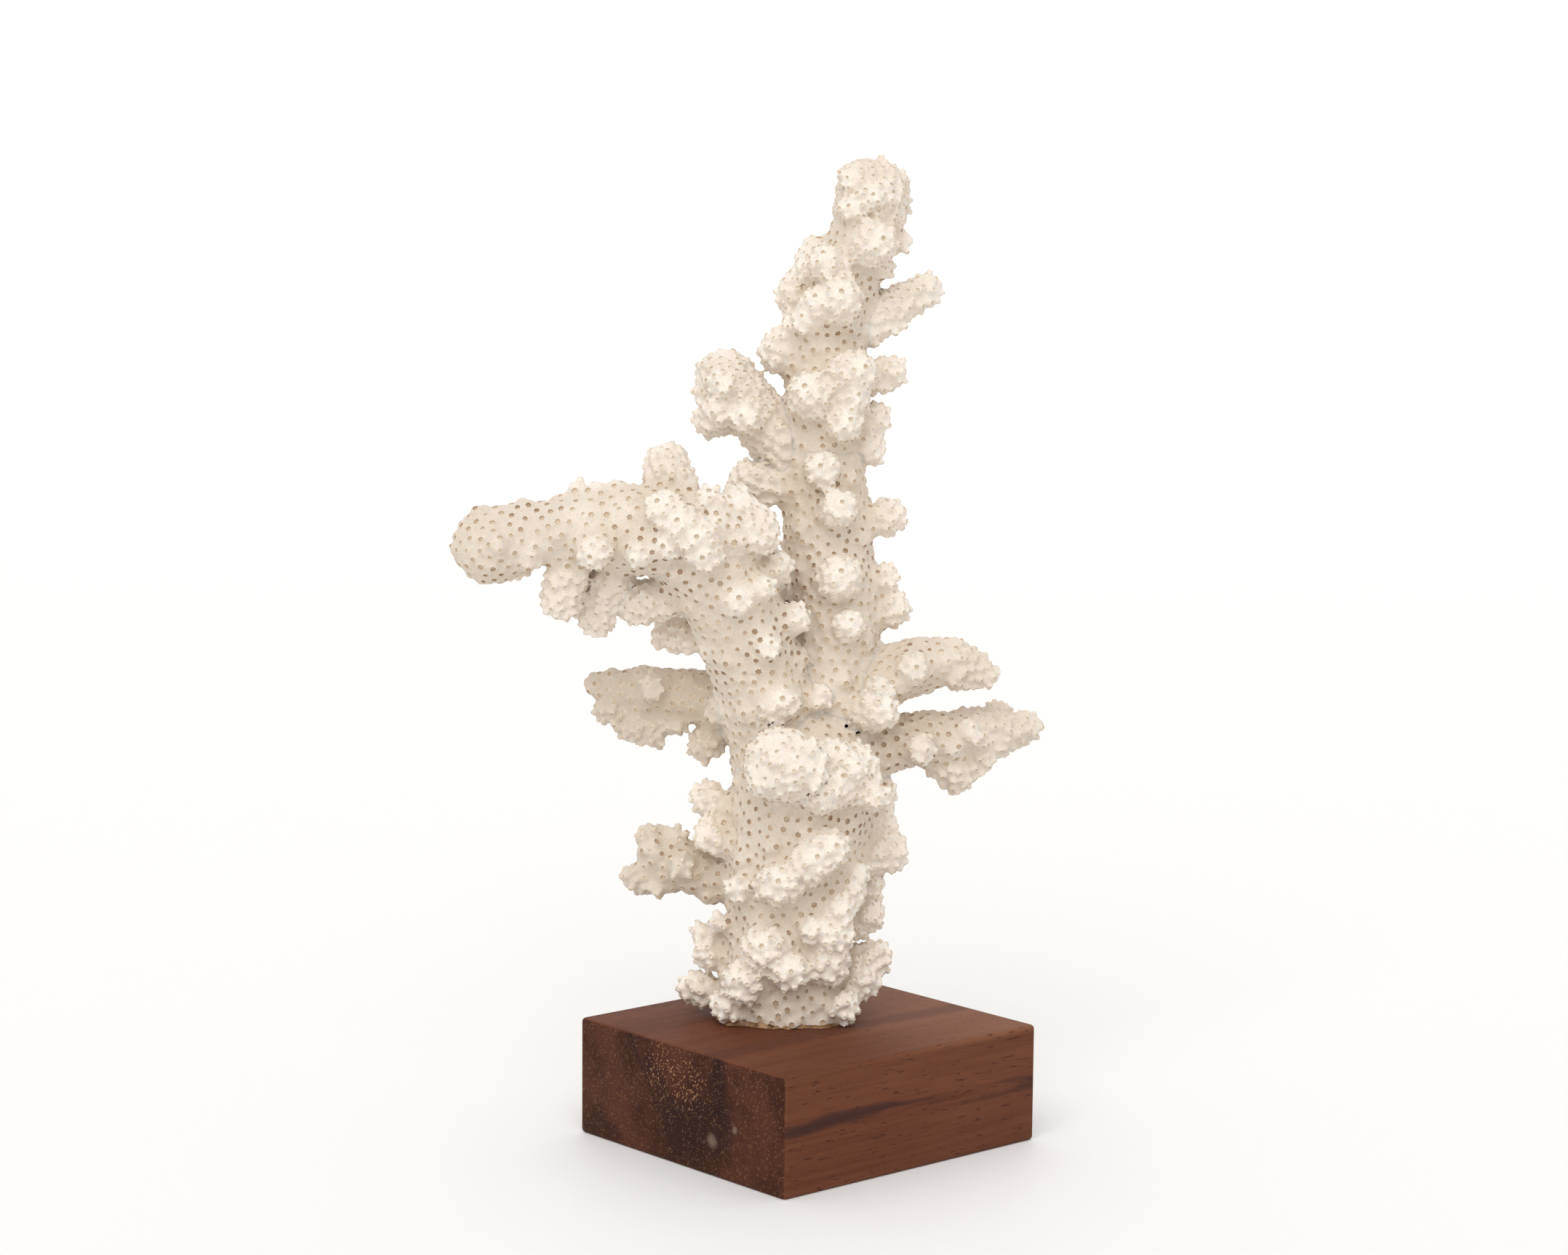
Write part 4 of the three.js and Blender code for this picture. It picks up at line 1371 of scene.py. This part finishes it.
def long_grain(place, colour):
    """Wood along its grain: soft bands, two dark growth lines and short dark pores."""
    x, y, z = (each / MM for each in split(place))
    wander = noise(place, (22.0, 40.0, 40.0), 2.0) - 0.5
    bands = noise(place, (14.0, 190.0, 190.0), 4.0, 0.6)
    fibres = noise(place, (45.0, 1100.0, 1100.0), 3.0, 0.6)
    pores = noise(place, (380.0, 2600.0, 2600.0), 2.0).step(0.36, 0.3)
    broken = noise(place, (50.0, 500.0, 500.0), 3.0).step(0.35, 0.6)
    side_line = (z - SIDE_LINE_HEIGHT + wander * SIDE_LINE_WANDER) ** 2
    top_line = (y - TOP_LINE_DEPTH + wander * TOP_LINE_WANDER) ** 2
    # Where the painted sheen lies: on the top face, growing towards its right end
    painted_sheen = x.step(*PAINTED_SHEEN_ALONG) * z.step(*PAINTED_SHEEN_TOP)
    wood = mix(bands.step(0.28, 0.75), DARK_BAND, colour)
    wood = mix(fibres.step(0.3, 0.7) * 0.35, wood, BRIGHT_FIBRE)
    # Painted sheen: the top face lighter, as glancing light makes it
    wood = mix(painted_sheen * 0.5, wood, PAINTED_TOP_SHEEN)
    wood = mix(side_line.step(3.0, 0.1) * broken * 0.85, wood, SIDE_LINE)
    wood = mix(top_line.step(16.0, 0.5) * 0.45, wood, TOP_LINE)
    return mix(pores * 0.7, wood, WOOD_PORE), bands - pores


def end_grain(place):
    """Sawn end of the block: dark heartwood figure, a crack, pale knots and golden specks."""
    cloud = noise(place, 90.0, 3.0, output="Color")
    shift = vector_maths("SUBTRACT", cloud, (0.5, 0.5, 0.5))
    bent = vector_maths("ADD", place, vector_maths("SCALE", shift, Scale=9.0 * MM))
    blotch = noise(place, 75.0, 4.0, 0.6)
    specks = noise(place, 2600.0, 1.0).step(0.58, 0.68)

    def strength(bends, start, end, inner, outer, share, _):
        """How strongly one mark shows at each place."""
        points = (Vector((BLOCK_LOW.x, y * MM, z * MM)) for y, z in (start, end))
        return near_line(bent if bends else place, *points, inner * MM, outer * MM) * share

    wood = mix(blotch.step(0.38, 0.62), END_WOOD, END_BLOTCH)
    for row in DARK_MARKS:
        wood = mix(strength(*row), wood, row[-1])
    wood = mix(specks * (strength(*GOLDEN_MARK) + 0.2), wood, GOLDEN)
    for row in PALE_MARKS:
        wood = mix(strength(*row), wood, row[-1])
    return wood


def wood_material(settings):
    """Oiled reddish hardwood: grain along X, with end grain on the two short faces."""
    material, tree, shader = new_material("oiled_hardwood")
    place = object_place(tree)
    facing = split(make(tree, "ShaderNodeNewGeometry", output="Normal"))[0]
    along, height = long_grain(place, settings.wood_colour)
    colour = mix((facing**2).step(0.4, 0.6), along, end_grain(place))
    bump = bumps(height, 0.4, 0.1 * MM)
    feed(shader, Base_Color=colour, Roughness=0.6, Normal=bump, Specular_IOR_Level=0.07)
    return material


def glue_material():
    """Old amber adhesive, cloudy and a little glossy."""
    material, tree, shader = new_material("aged_adhesive")
    cloud = noise(object_place(tree), 700.0, 2.0)
    feed(shader, Base_Color=mix(cloud.step(0.35, 0.7), DARK_AMBER, AMBER), Roughness=0.45)
    return material


class SPECIMEN_OT_block(bpy.types.Operator):
    """Make the hardwood block with its eased edges"""

    bl_idname = "specimen.block"
    bl_label = "Wood block"

    def execute(self, context):
        settings = context.scene.specimen_block
        middle = (BLOCK_LOW + BLOCK_HIGH) / 2
        block = add(bpy.ops.mesh.primitive_cube_add, "block", size=1, location=middle)
        block.scale = BLOCK_HIGH - BLOCK_LOW
        settle(block)
        apply_modifier(block, "BEVEL", width=settings.ease, segments=4, profile=0.5)
        bpy.ops.object.shade_smooth_by_angle(angle=BLOCK_SMOOTH)
        block.data.materials.append(wood_material(settings))
        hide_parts("wood_block")
        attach(block, "root")
        return {"FINISHED"}


class SPECIMEN_OT_glue(bpy.types.Operator):
    """Make the uneven bead of adhesive along the coral's foot"""

    bl_idname = "specimen.glue"
    bl_label = "Adhesive"

    def execute(self, context):
        disc = {"vertices": GLUE_CORNERS, "radius": 1, "depth": 1, "location": (0, 0, 0.5)}
        glue = add(bpy.ops.mesh.primitive_cylinder_add, "adhesive", **disc)
        settle(glue)
        for vertex in glue.data.vertices:
            turn = math.atan2(vertex.co.y, vertex.co.x)
            around = Vector((math.cos(turn), math.sin(turn), 0))
            spread = GLUE_SPREAD + GLUE_UNEVEN * lumps(around * GLUE_LUMPS)
            spread -= GLUE_FRONT * max(-around.y, 0) ** 6
            elsewhere = around * GLUE_RISE_LUMPS + Vector((5, 0, 0))
            rise = GLUE_RISE + GLUE_RISE_UNEVEN * noises.noise(elsewhere)
            if vertex.co.z > 0.5:
                spread -= GLUE_SLOPE
            height = GLUE_SUNK + rise * vertex.co.z
            vertex.co = TO_MODEL @ (around * spread + Vector((0, GLUE_BACK, height)))
        apply_modifier(glue, "BEVEL", width=GLUE_BEVEL, segments=2)
        bpy.ops.object.shade_smooth_by_angle(angle=GLUE_SMOOTH)
        glue.data.materials.append(glue_material())
        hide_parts("glue_pad")
        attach(glue, "root")
        return {"FINISHED"}


# The stage


def photo_camera():
    """The camera at the photograph's viewing angle, and its ways to the right and back."""
    turn, rise, roll = CAMERA_TURN, CAMERA_RISE, CAMERA_ROLL
    right = Vector((math.cos(turn), math.sin(turn), 0))
    level = math.cos(rise)
    back = Vector((math.sin(turn) * level, -math.cos(turn) * level, math.sin(rise)))
    up = back.cross(right)
    rolled_right = right * math.cos(roll) + up * math.sin(roll)
    rolled_up = up * math.cos(roll) - right * math.sin(roll)
    aim = right * CAMERA_AIM_RIGHT + Vector((0, 0, CAMERA_AIM_HEIGHT))
    camera = add(bpy.ops.object.camera_add, "photo_camera")
    camera.matrix_world = Matrix((rolled_right, rolled_up, back)).transposed().to_4x4()
    camera.location = aim + back * CAMERA_DISTANCE
    camera.data.sensor_fit = "HORIZONTAL"
    camera.data.sensor_width = CAMERA_SENSOR
    camera.data.lens = CAMERA_LENS
    camera.data.dof.use_dof = False
    return camera, right, back


def white_paper(back):
    """White paper that lies under the piece and rises in a wide curve behind it."""
    paper = add(bpy.ops.mesh.primitive_plane_add, "backdrop", size=1)
    level = Vector((back.x, back.y, 0)).normalized()
    across = Vector((0, 0, 1)).cross(level)
    steps = [(PAPER_FRONT, 0.0), (-PAPER_BACK, 0.0)]
    for i in range(1, PAPER_STEPS + 1):
        turn = math.pi / 2 * i / PAPER_STEPS
        behind = -PAPER_BACK - PAPER_CURVE * math.sin(turn)
        steps.append((behind, PAPER_CURVE - PAPER_CURVE * math.cos(turn)))
    steps.append((-PAPER_BACK - PAPER_CURVE, PAPER_HEIGHT))
    bpy.ops.object.mode_set(mode="EDIT")
    bpy.ops.mesh.select_all(action="SELECT")
    bpy.ops.mesh.delete(type="VERT")
    bpy.ops.object.mode_set(mode="OBJECT")
    rows = [level * forward + Vector((0, 0, rise)) for forward, rise in steps]
    corners = [row + across * side for row in rows for side in (-PAPER_HALF, PAPER_HALF)]
    faces = [(2 * i, 2 * i + 1, 2 * i + 3, 2 * i + 2) for i in range(len(rows) - 1)]
    paper.data.from_pydata([tuple(corner) for corner in corners], [], faces)
    paper.data.update()
    select_only(paper)
    bpy.ops.object.shade_smooth()
    material, _, shader = new_material("white_paper")
    feed(shader, Base_Color=(*PAPER, 1.0), Roughness=0.6)
    paper.data.materials.append(material)
    return paper


class SPECIMEN_OT_stage(bpy.types.Operator):
    """Set up the camera, a plain pale floor and soft studio light"""

    bl_idname = "specimen.stage"
    bl_label = "Stage"

    def execute(self, context):
        settings = context.scene.specimen_stage
        scene = context.scene
        scene.camera, right, back = photo_camera()
        white_paper(back)

        key = add(bpy.ops.object.light_add, "key", type="SUN")
        key.data.energy = settings.key_strength
        key.data.angle = KEY_ANGLE
        shining = Vector((0, 0, -KEY_RAISED)) - back + right * KEY_ASIDE
        key.rotation_euler = shining.to_track_quat("-Z", "Y").to_euler()
        world = bpy.data.worlds.new("studio")
        world.use_nodes = True
        shade = world.node_tree.nodes["Background"]
        shade.inputs["Color"].default_value = (1, 1, 1, 1)
        shade.inputs["Strength"].default_value = settings.surround
        scene.world = world
        scene.view_settings.view_transform = "Standard"
        return {"FINISHED"}


class SPECIMEN_PT_panel(bpy.types.Panel):
    """The specimen's pieces, each with its settings, and the stage"""

    bl_label = "Mounted coral specimen"
    bl_idname = "SPECIMEN_PT_panel"
    bl_space_type = "VIEW_3D"
    bl_region_type = "UI"
    bl_category = "Specimen"

    def draw(self, context):
        rows = (
            (SPECIMEN_OT_coral, "specimen_coral"),
            (SPECIMEN_OT_block, "specimen_block"),
            (SPECIMEN_OT_glue, None),
            (SPECIMEN_OT_stage, "specimen_stage"),
        )
        for operator, group in rows:
            box = self.layout.box()
            box.operator(operator.bl_idname)
            if group:
                settings = getattr(context.scene, group)
                for name in type(settings).__annotations__:
                    box.prop(settings, name)


CLASSES = (
    SPECIMEN_PG_coral,
    SPECIMEN_PG_block,
    SPECIMEN_PG_stage,
    SPECIMEN_OT_coral,
    SPECIMEN_OT_block,
    SPECIMEN_OT_glue,
    SPECIMEN_OT_stage,
    SPECIMEN_PT_panel,
)


def register():
    for each in CLASSES:
        bpy.utils.register_class(each)
    bpy.types.Scene.specimen_coral = bpy.props.PointerProperty(type=SPECIMEN_PG_coral)
    bpy.types.Scene.specimen_block = bpy.props.PointerProperty(type=SPECIMEN_PG_block)
    bpy.types.Scene.specimen_stage = bpy.props.PointerProperty(type=SPECIMEN_PG_stage)


def unregister():
    del bpy.types.Scene.specimen_coral
    del bpy.types.Scene.specimen_block
    del bpy.types.Scene.specimen_stage
    for each in reversed(CLASSES):
        bpy.utils.unregister_class(each)


def main():
    register()
    bpy.ops.specimen.block()
    bpy.ops.specimen.glue()
    bpy.ops.specimen.coral()
    bpy.ops.specimen.stage()


if __name__ == "__main__":
    main()
